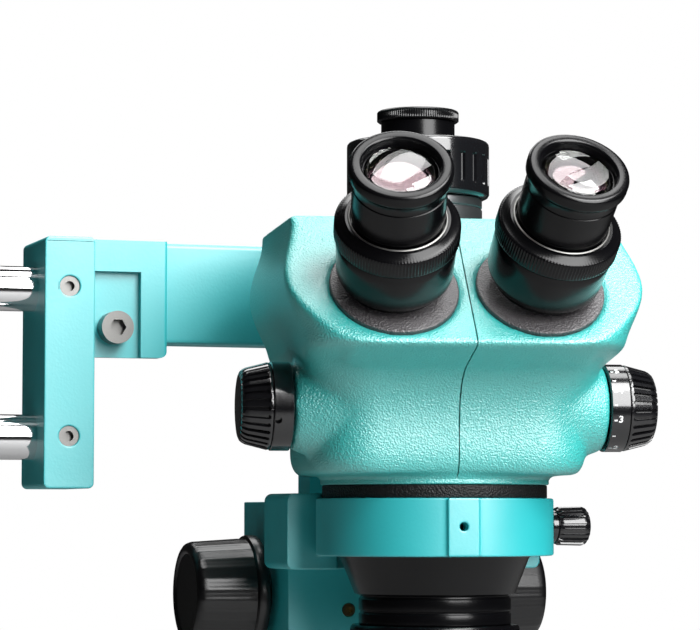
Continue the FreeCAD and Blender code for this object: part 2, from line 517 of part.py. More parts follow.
def section(half_width, front, rear, corner, height, inset=0.0):
    """A rounded rectangle at one height, drawn in by an inset all round."""
    x, y0, y1 = half_width - inset, -front + inset, rear - inset
    r = max(corner - inset, 1.0)
    bend = r * (1 - math.sqrt(0.5))
    edges = []
    corners = [(x, y0, 1, -1), (x, y1, 1, 1), (-x, y1, -1, 1), (-x, y0, -1, -1)]
    ends = []
    for cx, cy, sx, sy in corners:
        on_side, on_end = Vector(cx, cy - sy * r, height), Vector(cx - sx * r, cy, height)
        middle = Vector(cx - sx * bend, cy - sy * bend, height)
        first, second = (on_end, on_side) if sx * sy < 0 else (on_side, on_end)
        ends.append((first, middle, second))
    for n, (first, middle, second) in enumerate(ends):
        edges.append(Part.Arc(first, middle, second).toShape())
        edges.append(Part.LineSegment(second, ends[(n + 1) % 4][0]).toShape())
    return Part.Wire(edges)


def head_form(inset=0.0):
    """The casting's outer form, or the form of its hollow when drawn in by the wall."""
    top = val(RING_TOP)
    low = val(LIP_TOP) + inset
    body, front, rear, corner = val("body_half_width"), val("body_front"), val("body_rear"), val("corner")
    crown, crown_half, crown_front = val("crown_up"), val("crown_half_width"), val(CROWN_FRONT)
    shoulder, wide, full = val("shoulder_up"), val("shoulder_half_width"), val("head_rear")
    lower = [(body - 3, front - 4, rear - 3, corner - 3, low),
             (body - 0.6, front - 1.6, rear - 1, corner - 2, low + 3.5),
             (body, front - 0.6, rear, corner - 2, low + 12 - inset),
             (body, front + 0.5, rear + 1, corner - 2, top + crown - 20),
             (body + 1.5, front + 5, rear + 3, corner - 2, top + crown - 12),
             (body + 4.0, front + 17, rear + 8, corner - 1, top + crown - 5.5),
             (crown_half, crown_front, full - 3, corner, top + crown + inset * 0.3)]
    upper = [(crown_half, crown_front, full - 3, corner, top + crown + inset * 0.3),
             (crown_half + 3.4, crown_front + 1, full - 1, corner + 1, top + crown + 9.5),
             (wide, crown_front + 1, full, corner + 2, top + shoulder),
             (wide - 1.6, crown_front + 1, full, corner + 2, top + shoulder + 14),
             (val("top_half_width"), crown_front + 1, full - 1, corner + 2, top + val("top_up") - inset)]
    solids = []
    for rows in (lower, upper):
        wires = [section(w, f, b, r, z, inset) for w, f, b, r, z in rows]
        solids.append(Part.makeLoft(wires, True, False))
    form = solids[0].fuse(solids[1])
    angle = math.radians(val("face_elevation"))
    normal = Vector(0, -math.cos(angle), math.sin(angle))
    reach = 2 * val(HEAD_TOP)
    away = Part.makeBox(2 * reach, 2 * reach, reach, Vector(-reach, -reach, 0))
    away.Placement = Placement(normal * (val("face_offset") - inset) + Vector(0, 0, top),
                               Rotation(Vector(0, 0, 1), normal))
    return form.cut(away)


def make_head_shells():
    """The painted casting in two halves that meet on the middle plane, with all its openings."""
    neck = Part.makeCone(val("zoom_neck_root"), val("zoom_neck"), val("zoom_neck_length"),
                         Vector(val(ZOOM_INNER + " - zoom_neck_length"), 0, 0), Vector(1, 0, 0))
    neck.Placement = Placement(Vector(0, -val("zoom_forward"), val(ZOOM_HEIGHT)), Rotation())
    other = neck.copy()
    other.Placement = Placement(Vector(0, -val("zoom_forward"), val(ZOOM_HEIGHT)), Rotation(Vector(0, 0, 1), 180))
    lip = Part.makeCylinder(val("lip_radius"), val("lip_height") + 2, Vector(0, 0, val(FLANGE_TOP)))
    outer = head_form().fuse([neck, other, lip])
    shell = outer.cut(head_form(val("head_wall")))
    wall, across = val("head_wall"), val(ZOOM_OUTER)
    tools = [Part.makeCylinder(val("throat_inner + disc_rim"), 8 * wall, Vector(0, 0, val(FLANGE_TOP) - wall)),
             Part.makeCylinder(val("zoom_shaft_radius + disc_fit"), 2 * across,
                               Vector(-across, -val("zoom_forward"), val(ZOOM_HEIGHT)), Vector(1, 0, 0)),
             Part.makeCylinder(val("port_base_radius - port_wall") - 1.5, 6 * wall,
                               Vector(0, val("port_behind"), val(HEAD_TOP) - 4 * wall))]
    for _, side in SIDES:
        well = Part.makeCylinder(val("disc_radius + disc_fit"), 6 * wall, Vector(0, 0, val("-disc_thickness")))
        throat = Part.makeCylinder(val("disc_radius - disc_rim"), 8 * wall, Vector(0, 0, -4 * wall))
        for tool in (well, throat):
            tool.Placement = in_head().inverse().multiply(on_face(side))
            tools.append(tool)
    shell = shell.cut(tools)
    gap, reach = val("seam_gap") / 2, 2 * val(HEAD_TOP)
    for name, side in SIDES:
        start = gap if side > 0 else -gap - reach
        half = Part.makeBox(reach, 2 * reach, reach, Vector(start, -reach, 0))
        feature = doc.addObject("Part::Feature", "head_shell_" + name)
        feature.Shape = shell.common(half)
        keep("head_shell_" + name, feature, in_head())


def make_head_base():
    """Black textured flange with the spigot that sits in the ring, the cone and the collar."""
    spigot = "ring_bore - ring_fit / 2"
    points = [("throat_inner - throat_lip", "%s + 1" % RING_BOTTOM), (spigot, "%s + 1" % RING_BOTTOM),
              (spigot, RING_TOP), ("flange_radius", RING_TOP), ("flange_radius", FLANGE_TOP),
              ("throat_inner + 2.8", FLANGE_TOP), ("throat_inner + 2.8", CHASSIS_LOW),
              ("throat_inner - throat_lip", CHASSIS_LOW)]
    keep("base_flange", turned("base_flange", points), in_head())
    throat = "(collar_height + throat_height)"
    cone = [("throat_bore", "collar_height"), ("throat_radius", "collar_height"),
            ("throat_radius", "%s - 1.5" % throat), ("throat_radius - 0.8", "%s - 1" % throat),
            ("cone_small_radius", throat), ("ring_bore - cone_step", RING_BOTTOM),
            ("ring_bore - cone_step", "%s + 1" % RING_BOTTOM), ("throat_bore", "%s + 1" % RING_BOTTOM)]
    keep("objective_cone", turned("objective_cone", cone), in_head())
    collar = [("collar_bore", "0"), ("collar_radius", "0"), ("collar_radius", "collar_height - collar_edge"),
              ("collar_radius - collar_edge", "collar_height"),
              ("collar_bore", "collar_height")]
    keep("ring_light_collar", turned("ring_light_collar", collar), in_head())


def make_optics():
    """What the shells hide: objectives, chassis, zoom barrels and carriage, port prism."""
    glass = "(throat_bore - barrel_offset - objective_wall)"
    mount = rod("throat_bore", "collar_height + 1", "collar_height + 5")
    lenses, barrels = [], []
    for _, side in SIDES:
        x = "%d * barrel_offset" % side
        mount = cut(mount, rod(glass, "0", RING_TOP, x=x))
        lenses.append(rod(glass, "collar_height + 1.5", "collar_height + 6.5", x=x))
        tube = cut(rod("barrel_radius", CHASSIS_TOP, "%s + barrel_height" % CHASSIS_TOP, x=x),
                   rod("barrel_radius - barrel_wall", "0", HEAD_TOP, x=x))
        barrels.append(tube)
    keep("objective_mount", mount, in_head())
    keep("objective_lenses", group(*lenses), in_head())
    chassis = block("chassis_inset - body_half_width", "body_half_width - chassis_inset",
                    "chassis_inset - body_front + 1", "body_rear - chassis_inset + 4",
                    CHASSIS_LOW, CHASSIS_TOP)
    for _, side in SIDES:
        chassis = cut(chassis, rod("barrel_radius - barrel_wall", "0", HEAD_TOP, x="%d * barrel_offset" % side))
    keep("optics_chassis", chassis, in_head())
    keep("zoom_barrels", group(*barrels), in_head())
    bridge = "(%s + cam_travel + 0.5)" % BARREL_TOP
    sleeves = [rod("barrel_radius - barrel_wall - sleeve_play", "%s + cam_travel + 1" % CHASSIS_TOP, bridge,
                   x="%d * barrel_offset" % side) for _, side in SIDES]
    carriage = fuse(*sleeves, block("-barrel_offset - 8", "barrel_offset + 8", "-6", "6", bridge,
                                    "%s + carriage_thickness" % bridge))
    for _, side in SIDES:
        carriage = cut(carriage, rod("barrel_radius - 3 * barrel_wall", "0", HEAD_TOP,
                                     x="%d * barrel_offset" % side))
    keep("zoom_carriage", carriage, in_head())
    middle = "port_behind"
    prism_low = "(%s - prism_drop)" % HEAD_TOP
    keep("prism_bracket", block("-10", "10", middle + " - 8", "body_rear - chassis_inset + 3", CHASSIS_TOP, prism_low), in_head())
    cube = block("-prism_size / 2", "prism_size / 2", middle + " - prism_size / 2", middle + " + prism_size / 2",
                 prism_low, prism_low + " + prism_size")
    keep("port_prism", cube, in_head())
    for name, side in SIDES:
        prism = block("-prism_size / 2", "prism_size / 2", "-prism_size / 2", "prism_size / 2",
                      "-disc_thickness - prism_size * 0.8", "-disc_thickness")
        keep("eye_prism_" + name, group(prism), on_face(side))


def make_zoom_drive():
    """Cross shaft and the two zoom knobs."""
    keep("zoom_shaft", rod("zoom_shaft_radius", "zoom_cap - " + ZOOM_OUTER, ZOOM_OUTER + " - zoom_cap", y="-zoom_forward",
                           z=ZOOM_HEIGHT, along="x"), in_head())
    for name, side in SIDES:
        low, high = "(%s + zoom_stand)" % ZOOM_INNER, ZOOM_OUTER
        skirt = "(%s + zoom_skirt)" % ZOOM_INNER
        points = [("zoom_shaft_radius + 0.02", low), ("zoom_radius", low), ("zoom_radius", skirt),
                  ("zoom_end_radius", high + " - 2"), ("zoom_end_radius - 2", high),
                  ("0", high), ("0", high + " - zoom_cap"), ("zoom_shaft_radius + 0.02", high + " - zoom_cap")]
        knob = fluted(turned("zoom_" + name, points), val("zoom_flutes"),
                      ("zoom_radius - flute_radius / 2", skirt + " + flute_radius + 0.4"),
                      ("zoom_end_radius - flute_radius", high + " + 1"))
        lying(knob, Rotation(Vector(0, 1, 0), 90 * side), "0", "-zoom_forward", ZOOM_HEIGHT)
        keep("zoom_knob_" + name, knob, in_head())
    keep("zoom_cam", cut(rod("cam_radius", "-cam_radius * 1.5", "cam_radius * 1.5", y="-zoom_forward", z=ZOOM_HEIGHT, along="x"),
                         rod("zoom_shaft_radius", "-cam_radius * 2", "cam_radius * 2", y="-zoom_forward",
                             z=ZOOM_HEIGHT, along="x")),
         in_head())


def make_eye_tubes():
    """Disc, tube, diopter ring, eyepiece and eye lens of each side."""
    for name, side in SIDES:
        disc = [("tube_foot - 4", "-disc_thickness"), ("disc_radius", "-disc_thickness"),
                ("disc_radius", "disc_proud - 0.3"), ("disc_radius - 0.3", "disc_proud"),
                ("tube_foot - 4", "disc_proud")]
        keep("eye_disc_" + name, turned("eye_disc_" + name, disc), on_face(side))
        tube_top = "(tube_rise + tube_length)"
        foot = "(disc_proud + tube_gap)"
        tube = [(TUBE_BORE, foot), ("tube_foot", foot), ("tube_foot", "tube_rise"),
                ("tube_radius - 1", "tube_rise"), ("tube_radius", "tube_rise + 1"),
                ("tube_radius + tube_flare", tube_top), (TUBE_BORE, tube_top)]
        keep("eye_tube_" + name, turned("eye_tube_" + name, tube), on_tube(side))
        dial_low = "(%s + dial_fit)" % tube_top
        dial_high = "(%s + dial_length)" % dial_low
        dial = [("eye_stem + eye_fit", dial_low), ("dial_radius - 0.5", dial_low),
                ("dial_radius", "%s + 0.5" % dial_low), ("dial_radius", "%s - 2" % dial_high),
                ("neck_radius + 2.2", dial_high), ("neck_radius + eye_fit", dial_high),
                ("neck_radius + eye_fit", "%s - dial_sink" % dial_high), ("eye_stem + eye_fit", "%s - dial_sink" % dial_high)]
        keep("diopter_ring_" + name, turned("diopter_ring_" + name, dial), on_tube(side))
        low = "(%s - 1)" % dial_high
        high = "(%s + eye_length)" % dial_high
        rim = "(%s + rim_length)" % high
        foot = "(%s - dial_length - stem_depth)" % dial_high
        eye = [("eye_stem - stem_wall", foot), ("eye_stem", foot),
               ("eye_stem", low), ("neck_radius", low), ("neck_radius", high), ("rim_radius", "%s + 0.8" % high),
               ("rim_radius", "%s - 0.8" % rim), ("rim_radius - 0.8", rim), ("lens_radius + 0.8", rim),
               ("lens_radius", "%s - 1.2" % rim), ("lens_radius", "%s - lens_sink" % rim),
               ("eye_stem - stem_wall", "%s - lens_sink" % rim)]
        keep("eyepiece_" + name, turned("eyepiece_" + name, eye), on_tube(side))
        seat = "(%s - lens_sink)" % rim
        lens = [("0", seat), ("lens_radius - 0.02", seat), ("lens_radius - 0.02", seat + " + 1"),
                ("lens_radius * 0.7", seat + " + 2.4"), ("lens_radius * 0.35", seat + " + 3.1"), ("0", seat + " + 3.3")]
        keep("eye_lens_" + name, turned("eye_lens_" + name, lens), on_tube(side))


def make_port():
    """The camera port: base collar, ribbed locking ring, photo tube and dust cap."""
    where = in_head().multiply(Placement(Vector(0, val("port_behind"), 0), Rotation()))
    bore = "(port_tube_radius + port_fit)"
    base = [(bore, HEAD_TOP), ("port_base_radius", HEAD_TOP), ("port_base_radius", PORT_BASE_TOP), (bore, PORT_BASE_TOP)]
    keep("port_base", turned("port_base", base), Placement(where))
    low, high = PORT_BASE_TOP, PORT_RING_TOP
    ring = [(bore, low + " + port_fit"), ("port_ring_radius - port_ring_edge", low + " + port_fit"),
            ("port_ring_radius", low + " + port_ring_edge"), ("port_ring_radius", high + " - port_ring_edge"),
            ("port_ring_radius - port_ring_edge", high), (bore, high)]
    slot = Part.makeBox(2 * val("slot_depth"), val("slot_width"), val("port_ring_height - 4 * port_ring_edge"),
                        Vector(val("port_ring_radius - slot_depth"), -val("slot_width") / 2,
                               val(low + " + 2 * port_ring_edge")))
    slots = doc.addObject("Part::Feature", "slots")
    slots.Shape = spun(slot, val("port_slots"))
    keep("port_ring", cut(turned("port_ring", ring), slots), Placement(where))
    tube_top = PORT_TUBE_TOP
    tube = [("port_tube_radius - port_wall", HEAD_TOP + " - 3"), ("port_tube_radius", HEAD_TOP + " - 3"),
            ("port_tube_radius", tube_top), ("port_tube_radius - port_wall", tube_top)]
    keep("photo_tube", turned("photo_tube", tube), Placement(where))
    cap = [("0", tube_top + " - 4"), ("port_tube_radius - port_wall - 0.1", tube_top + " - 4"),
           ("port_tube_radius - port_wall - 0.1", tube_top), ("port_cap_radius - 0.5", tube_top),
           ("port_cap_radius", tube_top + " + 0.5"), ("port_cap_radius", tube_top + " + port_cap_height - 0.6"),
           ("port_cap_radius - 0.6", tube_top + " + port_cap_height"), ("0", tube_top + " + port_cap_height")]
    keep("port_cap", turned("port_cap", cap), Placement(where))


make_ring_holder()
make_lock_knob()
make_carriage()
make_focus_knobs()
make_gearing()
make_column_and_arm()
make_end_block()
make_head_shells()
make_head_base()
make_optics()
make_zoom_drive()
make_eye_tubes()
make_port()
doc.recompute()

for thing in doc.Objects:
    if "Invalid" in thing.State or "Error" in thing.State:
        raise RuntimeError("%s (%s) failed: %s" % (thing.Name, thing.Label, thing.State))
for thing in nodes:
    if thing.Shape.isNull() or not thing.Shape.isValid() or not thing.Shape.Solids:
        raise RuntimeError("%s has no good shape" % thing.Label)
os.makedirs("parts", exist_ok=True)
for thing in nodes:
    thing.Shape.exportStep("parts/%s.step" % thing.Label)
print("%d sub-parts written" % len(nodes))
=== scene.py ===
# %% [markdown]
# A trinocular stereo microscope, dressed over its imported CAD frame. The castings, eyepieces and knobs
# are made one after another, each in the way that suits the real piece: turned pieces are spun from
# half a profile, castings are skinned from their solids, and finishes come from shader nodes.
# Outlines are written in millimetres, and the scene is in metres.

# %% Load the frame and note its size
import json
import math

import bpy
from mathutils import Matrix, Vector

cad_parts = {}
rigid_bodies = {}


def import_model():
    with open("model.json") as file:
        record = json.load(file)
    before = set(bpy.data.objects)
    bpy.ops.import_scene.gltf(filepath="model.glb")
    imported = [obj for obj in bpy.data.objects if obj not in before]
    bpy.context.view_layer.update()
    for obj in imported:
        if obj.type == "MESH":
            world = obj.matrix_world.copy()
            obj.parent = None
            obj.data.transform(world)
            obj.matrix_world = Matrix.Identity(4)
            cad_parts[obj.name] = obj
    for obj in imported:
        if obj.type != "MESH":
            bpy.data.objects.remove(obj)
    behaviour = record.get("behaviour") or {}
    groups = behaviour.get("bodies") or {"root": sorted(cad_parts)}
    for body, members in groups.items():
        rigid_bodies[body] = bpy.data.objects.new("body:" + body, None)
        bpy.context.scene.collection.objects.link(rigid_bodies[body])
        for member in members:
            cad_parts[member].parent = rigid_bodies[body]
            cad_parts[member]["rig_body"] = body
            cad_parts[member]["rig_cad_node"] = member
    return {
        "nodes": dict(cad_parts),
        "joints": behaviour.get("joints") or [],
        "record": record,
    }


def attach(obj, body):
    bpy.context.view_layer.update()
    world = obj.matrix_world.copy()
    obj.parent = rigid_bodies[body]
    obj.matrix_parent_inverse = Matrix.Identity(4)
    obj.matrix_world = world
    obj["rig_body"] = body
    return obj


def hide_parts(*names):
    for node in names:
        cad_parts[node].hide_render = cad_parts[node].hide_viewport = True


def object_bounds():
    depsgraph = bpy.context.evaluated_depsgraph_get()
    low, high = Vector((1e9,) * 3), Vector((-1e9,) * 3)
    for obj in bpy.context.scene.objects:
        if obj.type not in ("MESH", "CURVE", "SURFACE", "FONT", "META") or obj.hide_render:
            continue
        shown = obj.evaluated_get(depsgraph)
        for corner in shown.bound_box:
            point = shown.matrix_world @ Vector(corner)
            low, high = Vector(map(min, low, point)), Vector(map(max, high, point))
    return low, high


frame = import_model()
cad_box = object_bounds()
joints = {joint["name"]: joint for joint in frame["joints"]}
MM = 0.001
print("CAD box", [tuple(round(c, 4) for c in corner) for corner in cad_box])

# %% [markdown]
# The photograph was taken from slightly left of the operator, from low down, with a long lens.
# Its camera was worked out from some fifty points of known place, and is set here as a real camera is:
# by where it stands, where it points and its focal length.

# %% Camera
CAMERA_PLACE = Vector((-374.0, -999.8, 55.2)) * MM
CAMERA_YAW, CAMERA_PITCH = 18.79, 4.05
FOCAL_PIXELS, PICTURE_WIDTH, SENSOR = 2808.0, 700.0, 36.0

bpy.ops.object.camera_add(location=CAMERA_PLACE)
camera = bpy.context.object
camera.rotation_euler = (math.radians(90 + CAMERA_PITCH), 0, math.radians(-CAMERA_YAW))
camera.data.sensor_width = SENSOR
camera.data.lens = SENSOR * FOCAL_PIXELS / PICTURE_WIDTH
camera.data.clip_end = 20
bpy.context.scene.camera = camera

# %% [markdown]
# A product photograph on white: a pale floor well below the object, soft boxes in front and above, and a
# weaker one behind. Soft boxes are area lights, and their shapes show as long highlights in the gloss of
# knobs and rods. The camera sees the world as white, but the object gets hardly any light from it, so
# its shadow sides stay deep, as they are in the photograph.

# %% Floor and lights
FLOOR_GAP, FLOOR_SIZE = 0.25, 4
WORLD_LIGHT = 0.02
centre = (cad_box[0] + cad_box[1]) / 2


def soft_box(name, place, size, power):
    """An area light that points at the middle of the object, with its size in metres."""
    bpy.ops.object.light_add(type="AREA", location=place)
    lamp = bpy.context.object
    lamp.name = name
    lamp.data.shape = "RECTANGLE"
    lamp.data.size, lamp.data.size_y = size
    lamp.data.energy = power
    lamp.rotation_euler = (centre - Vector(place)).to_track_quat("-Z", "Y").to_euler()


def camera_share(tree, unseen, seen, strength):
    """Gives a strength one value for the camera's own rays, and another for all other rays."""
    rays = tree.nodes.new("ShaderNodeLightPath")
    share = tree.nodes.new("ShaderNodeMapRange")
    share.inputs["To Min"].default_value, share.inputs["To Max"].default_value = unseen, seen
    tree.links.new(rays.outputs["Is Camera Ray"], share.inputs["Value"])
    tree.links.new(share.outputs["Result"], strength)


bpy.ops.mesh.primitive_plane_add(size=FLOOR_SIZE, location=(0, 0, cad_box[0].z - FLOOR_GAP))
floor = bpy.context.object
floor.name = "studio_floor"
soft_box("key_front", (0.26, -0.90, 0.56), (0.65, 0.9), 22)
soft_box("key_high", (0.30, -0.55, 0.92), (0.5, 0.3), 7)
soft_box("top", (0.05, -0.15, 1.15), (0.9, 0.4), 7)
soft_box("top_back", (0.1, 0.65, 0.95), (0.8, 0.4), 4)

world = bpy.data.worlds.new("studio")
bpy.context.scene.world = world
world.use_nodes = True
background = world.node_tree.nodes["Background"]
background.inputs["Color"].default_value = (1, 1, 1, 1)
camera_share(world.node_tree, WORLD_LIGHT, 1.0, background.inputs["Strength"])
bpy.context.scene.view_settings.view_transform = "Standard"

# %% [markdown]
# Finishes start from one helper that makes a Principled material and sets its plain values.
# The relief that all of them share is a node group: a fine pebble for cast and wrinkle paint, which is
# next to nothing on polished and moulded pieces. The same group's slow drift of grey moves the colour and
# the roughness a little, as on any real surface.

# %% Material helpers
DRIFT_SCALE, PEBBLE_SOFTNESS = 60, 0.6


def material(name, colour, roughness, metallic=0.0, **sockets):
    made = bpy.data.materials.new(name)
    made.use_nodes = True
    shader = made.node_tree.nodes["Principled BSDF"]
    shader.inputs["Base Color"].default_value = (*colour, 1)
    shader.inputs["Roughness"].default_value = roughness
    shader.inputs["Metallic"].default_value = metallic
    for socket, value in sockets.items():
        shader.inputs[socket.replace("_", " ")].default_value = value
    return made


def pebble_group():
    """Height and colour mask of a fine pebbled surface, at a scale given in pebbles per metre."""
    group = bpy.data.node_groups.new("pebble", "ShaderNodeTree")
    group.interface.new_socket("Scale", in_out="INPUT", socket_type="NodeSocketFloat")
    group.interface.new_socket("Softness", in_out="INPUT", socket_type="NodeSocketFloat")
    group.interface.new_socket("Height", in_out="OUTPUT", socket_type="NodeSocketFloat")
    group.interface.new_socket("Mask", in_out="OUTPUT", socket_type="NodeSocketFloat")
    nodes, links = group.nodes, group.links
    incoming, outgoing = nodes.new("NodeGroupInput"), nodes.new("NodeGroupOutput")
    place = nodes.new("ShaderNodeTexCoord")
    coarse = nodes.new("ShaderNodeTexNoise")
    coarse.inputs["Detail"].default_value = 3
    links.new(place.outputs["Object"], coarse.inputs["Vector"])
    links.new(incoming.outputs["Scale"], coarse.inputs["Scale"])
    cellular = nodes.new("ShaderNodeTexVoronoi")
    cellular.feature = "SMOOTH_F1"
    links.new(place.outputs["Object"], cellular.inputs["Vector"])
    links.new(incoming.outputs["Scale"], cellular.inputs["Scale"])
    links.new(incoming.outputs["Softness"], cellular.inputs["Smoothness"])
    mix = nodes.new("ShaderNodeMath")
    mix.operation = "ADD"
    links.new(coarse.outputs["Fac"], mix.inputs[0])
    links.new(cellular.outputs["Distance"], mix.inputs[1])
    links.new(mix.outputs[0], outgoing.inputs["Height"])
    large = nodes.new("ShaderNodeTexNoise")
    large.inputs["Scale"].default_value = DRIFT_SCALE
    links.new(place.outputs["Object"], large.inputs["Vector"])
    links.new(large.outputs["Fac"], outgoing.inputs["Mask"])
    return group


PEBBLE = pebble_group()


def pebbled(made, scale, height, tint=None, rough=None):
    """Adds the pebble relief, in pebbles per metre and metres, and a drift of colour and roughness."""
    nodes, links = made.node_tree.nodes, made.node_tree.links
    shader = nodes["Principled BSDF"]
    relief = nodes.new("ShaderNodeGroup")
    relief.node_tree = PEBBLE
    relief.inputs["Scale"].default_value = scale
    relief.inputs["Softness"].default_value = PEBBLE_SOFTNESS
    bump = nodes.new("ShaderNodeBump")
    bump.inputs["Distance"].default_value = height
    links.new(relief.outputs["Height"], bump.inputs["Height"])
    links.new(bump.outputs["Normal"], shader.inputs["Normal"])
    if tint:
        ramp = nodes.new("ShaderNodeValToRGB")
        ramp.color_ramp.elements[0].color = (*shader.inputs["Base Color"].default_value[:3], 1)
        ramp.color_ramp.elements[1].color = (*tint, 1)
        links.new(relief.outputs["Mask"], ramp.inputs["Fac"])
        links.new(ramp.outputs["Color"], shader.inputs["Base Color"])
    if rough:
        spread = nodes.new("ShaderNodeMapRange")
        spread.inputs["To Min"].default_value, spread.inputs["To Max"].default_value = rough
        links.new(relief.outputs["Mask"], spread.inputs["Value"])
        links.new(spread.outputs["Result"], shader.inputs["Roughness"])
    return made


# %% [markdown]
# The head's paint has a leather grain under a thin gloss, and the stand's paint is smooth. The blacks
# differ by their gloss: wrinkle paint, satin anodising and two moulded plastics; the discs' wrinkle paint
# is also lighter and purplish, with its sheen painted into the colour. The pale floor glows for the camera
# only, so it looks even and lights nothing. Each slot of the record then gets its finish.

# %% Finishes
MINT = pebbled(
    material("mint_grain_paint", (0.009, 0.42, 0.395), 0.42, Specular_IOR_Level=1.0, IOR=1.8,
             Coat_Weight=0.6, Coat_Roughness=0.45, Coat_IOR=1.6),
    1450, 0.0003, tint=(0.012, 0.45, 0.42), rough=(0.38, 0.5))
SMOOTH_MINT = pebbled(
    material("mint_smooth_paint", (0.006, 0.40, 0.425), 0.46, Specular_IOR_Level=1.0, IOR=1.65,
             Coat_Weight=0.3, Coat_Roughness=0.4),
    900, 0.00002, tint=(0.008, 0.42, 0.445), rough=(0.42, 0.5))
# Painted sheen: the discs' black wrinkle paint gets a lighter, purplish base colour that paints in the
# grey-purple sheen they show; the flange keeps the darker paint.
DISC_WRINKLE_PAINTED_SHEEN = pebbled(
    material("disc_wrinkle_painted_sheen", (0.035, 0.031, 0.034), 0.42, Specular_IOR_Level=1.0,
             Coat_Weight=0.4, Coat_Roughness=0.4),
    1500, 0.00035, rough=(0.38, 0.5))
WRINKLE = pebbled(
    material("black_wrinkle_paint", (0.006, 0.006, 0.0065), 0.45, Specular_IOR_Level=0.3),
    1400, 0.0003, rough=(0.4, 0.52))
SATIN_BLACK = pebbled(
    material("satin_black_anodised", (0.002, 0.002, 0.0025), 0.22, Specular_IOR_Level=0.28),
    2500, 0.00001, rough=(0.16, 0.26))
GLOSS_BLACK = pebbled(
    material("gloss_black_plastic", (0.005, 0.005, 0.006), 0.16, Coat_Weight=0.6, Coat_Roughness=0.08),
    700, 0.00001, rough=(0.13, 0.2))
SEMI_BLACK = pebbled(
    material("semi_gloss_plastic", (0.002, 0.002, 0.0025), 0.3, Specular_IOR_Level=0.4,
             Coat_Weight=0.25, Coat_Roughness=0.2),
    700, 0.00001, rough=(0.26, 0.34))
GREY_METAL = pebbled(material("grey_anodised", (0.16, 0.16, 0.165), 0.35, 0.9), 2000, 0.00001,
                     rough=(0.3, 0.4))
CHROME = pebbled(material("hard_chrome", (0.82, 0.82, 0.83), 0.08, 1.0), 300, 0.000002, rough=(0.05, 0.1))
STEEL = pebbled(material("bright_steel", (0.2, 0.197, 0.19), 0.4, 1.0), 1500, 0.00001, rough=(0.36, 0.46))
BRASS = pebbled(material("turned_brass", (0.62, 0.5, 0.26), 0.3, 1.0), 1500, 0.00001, rough=(0.25, 0.36))
GREY_CAST = pebbled(material("plain_cast", (0.35, 0.35, 0.36), 0.45, 0.9), 1200, 0.00003, rough=(0.4, 0.5))
NYLON = pebbled(material("white_nylon", (0.8, 0.8, 0.76), 0.5), 900, 0.00001, rough=(0.45, 0.55))
PRINT_WHITE = pebbled(material("white_print", (0.8, 0.8, 0.8), 0.5), 900, 0.000002, rough=(0.45, 0.55))
PALE = pebbled(material("pale_sweep", (0.38, 0.38, 0.38), 0.9, Emission_Color=(1, 1, 1, 1)),
               40, 0.00005, rough=(0.85, 0.95))
FLOOR_GLOW = 0.75
camera_share(PALE.node_tree, 0.0, FLOOR_GLOW,
             PALE.node_tree.nodes["Principled BSDF"].inputs["Emission Strength"])
floor.data.materials.append(PALE)
SLOT_FINISH = {
    "mint_paint": MINT, "ring_paint": SMOOTH_MINT, "black_wrinkle": WRINKLE, "black_anodised": SATIN_BLACK,
    "black_plastic": GLOSS_BLACK, "grey_anodised": GREY_METAL, "steel": STEEL, "chrome_rod": CHROME,
    "brass": BRASS, "coated_glass": GLOSS_BLACK, "nylon": NYLON, "cast_aluminium": GREY_CAST,
}
for subpart in frame["record"]["subparts"]:
    mesh = frame["nodes"][subpart["node"]].data
    mesh.materials.clear()
    mesh.materials.append(SLOT_FINISH[subpart["material_slot"]])
print(len(frame["nodes"]), "nodes have a finish")

# %% [markdown]
# Most of the black pieces are turned on a lathe, so they are made the same way here: a single point is
# extruded along half of the outline, and the outline is spun round its axis. An outline has its own
# small rounds, or the piece gets a narrow bevel, because it is the edges that catch the light. Flutes,
# slots and knurls are strips of the spun points that are drawn in towards the axis.

# %% Turning, softening, cutting and placing
def alone(piece):
    """Leaves one object selected and active, in object mode."""
    if bpy.context.object and bpy.context.object.mode != "OBJECT":
        bpy.ops.object.mode_set(mode="OBJECT")
    bpy.ops.object.select_all(action="DESELECT")
    if piece:
        piece.select_set(True)
        bpy.context.view_layer.objects.active = piece


def turned(name, outline, steps=128):
    """Spins half an outline of (radius, height) points, in millimetres, round the Z axis."""
    alone(None)
    bpy.ops.mesh.primitive_plane_add(size=MM)
    piece = bpy.context.object
    piece.name = name
    bpy.ops.object.mode_set(mode="EDIT")
    bpy.ops.mesh.merge(type="CENTER")
    radius, height = outline[0]
    bpy.ops.transform.translate(value=(radius * MM, 0, height * MM))
    for (r0, z0), (r1, z1) in zip(outline, outline[1:]):
        step = ((r1 - r0) * MM, 0, (z1 - z0) * MM)
        bpy.ops.mesh.extrude_vertices_move(TRANSFORM_OT_translate={"value": step})
    bpy.ops.mesh.select_all(action="SELECT")
    bpy.ops.mesh.spin(steps=steps, angle=2 * math.pi, center=(0, 0, 0), axis=(0, 0, 1))
    bpy.ops.mesh.select_all(action="SELECT")
    bpy.ops.mesh.remove_doubles(threshold=1e-6)
    bpy.ops.mesh.normals_make_consistent(inside=False)
    bpy.ops.mesh.select_all(action="DESELECT")
    bpy.ops.object.mode_set(mode="OBJECT")
    return piece


def softened(piece, width=0.0, smooth=40):
    """Rounds the sharp edges if a width is given, and smooths the shading of the rest."""
    alone(piece)
    if width:
        bevel = piece.modifiers.new("edge", "BEVEL")
        bevel.width, bevel.segments = width * MM, 2
        bevel.limit_method, bevel.angle_limit = "ANGLE", math.radians(30)
        bpy.ops.object.modifier_apply(modifier="edge")
    bpy.ops.object.shade_smooth_by_angle(angle=math.radians(smooth))
    return piece


def cut_by(piece, tool):
    """Takes a tool's solid away from a piece, and removes the tool."""
    taken = piece.modifiers.new("cut", "BOOLEAN")
    taken.object, taken.operation = tool, "DIFFERENCE"
    alone(piece)
    bpy.ops.object.modifier_apply(modifier="cut")
    bpy.data.objects.remove(tool)


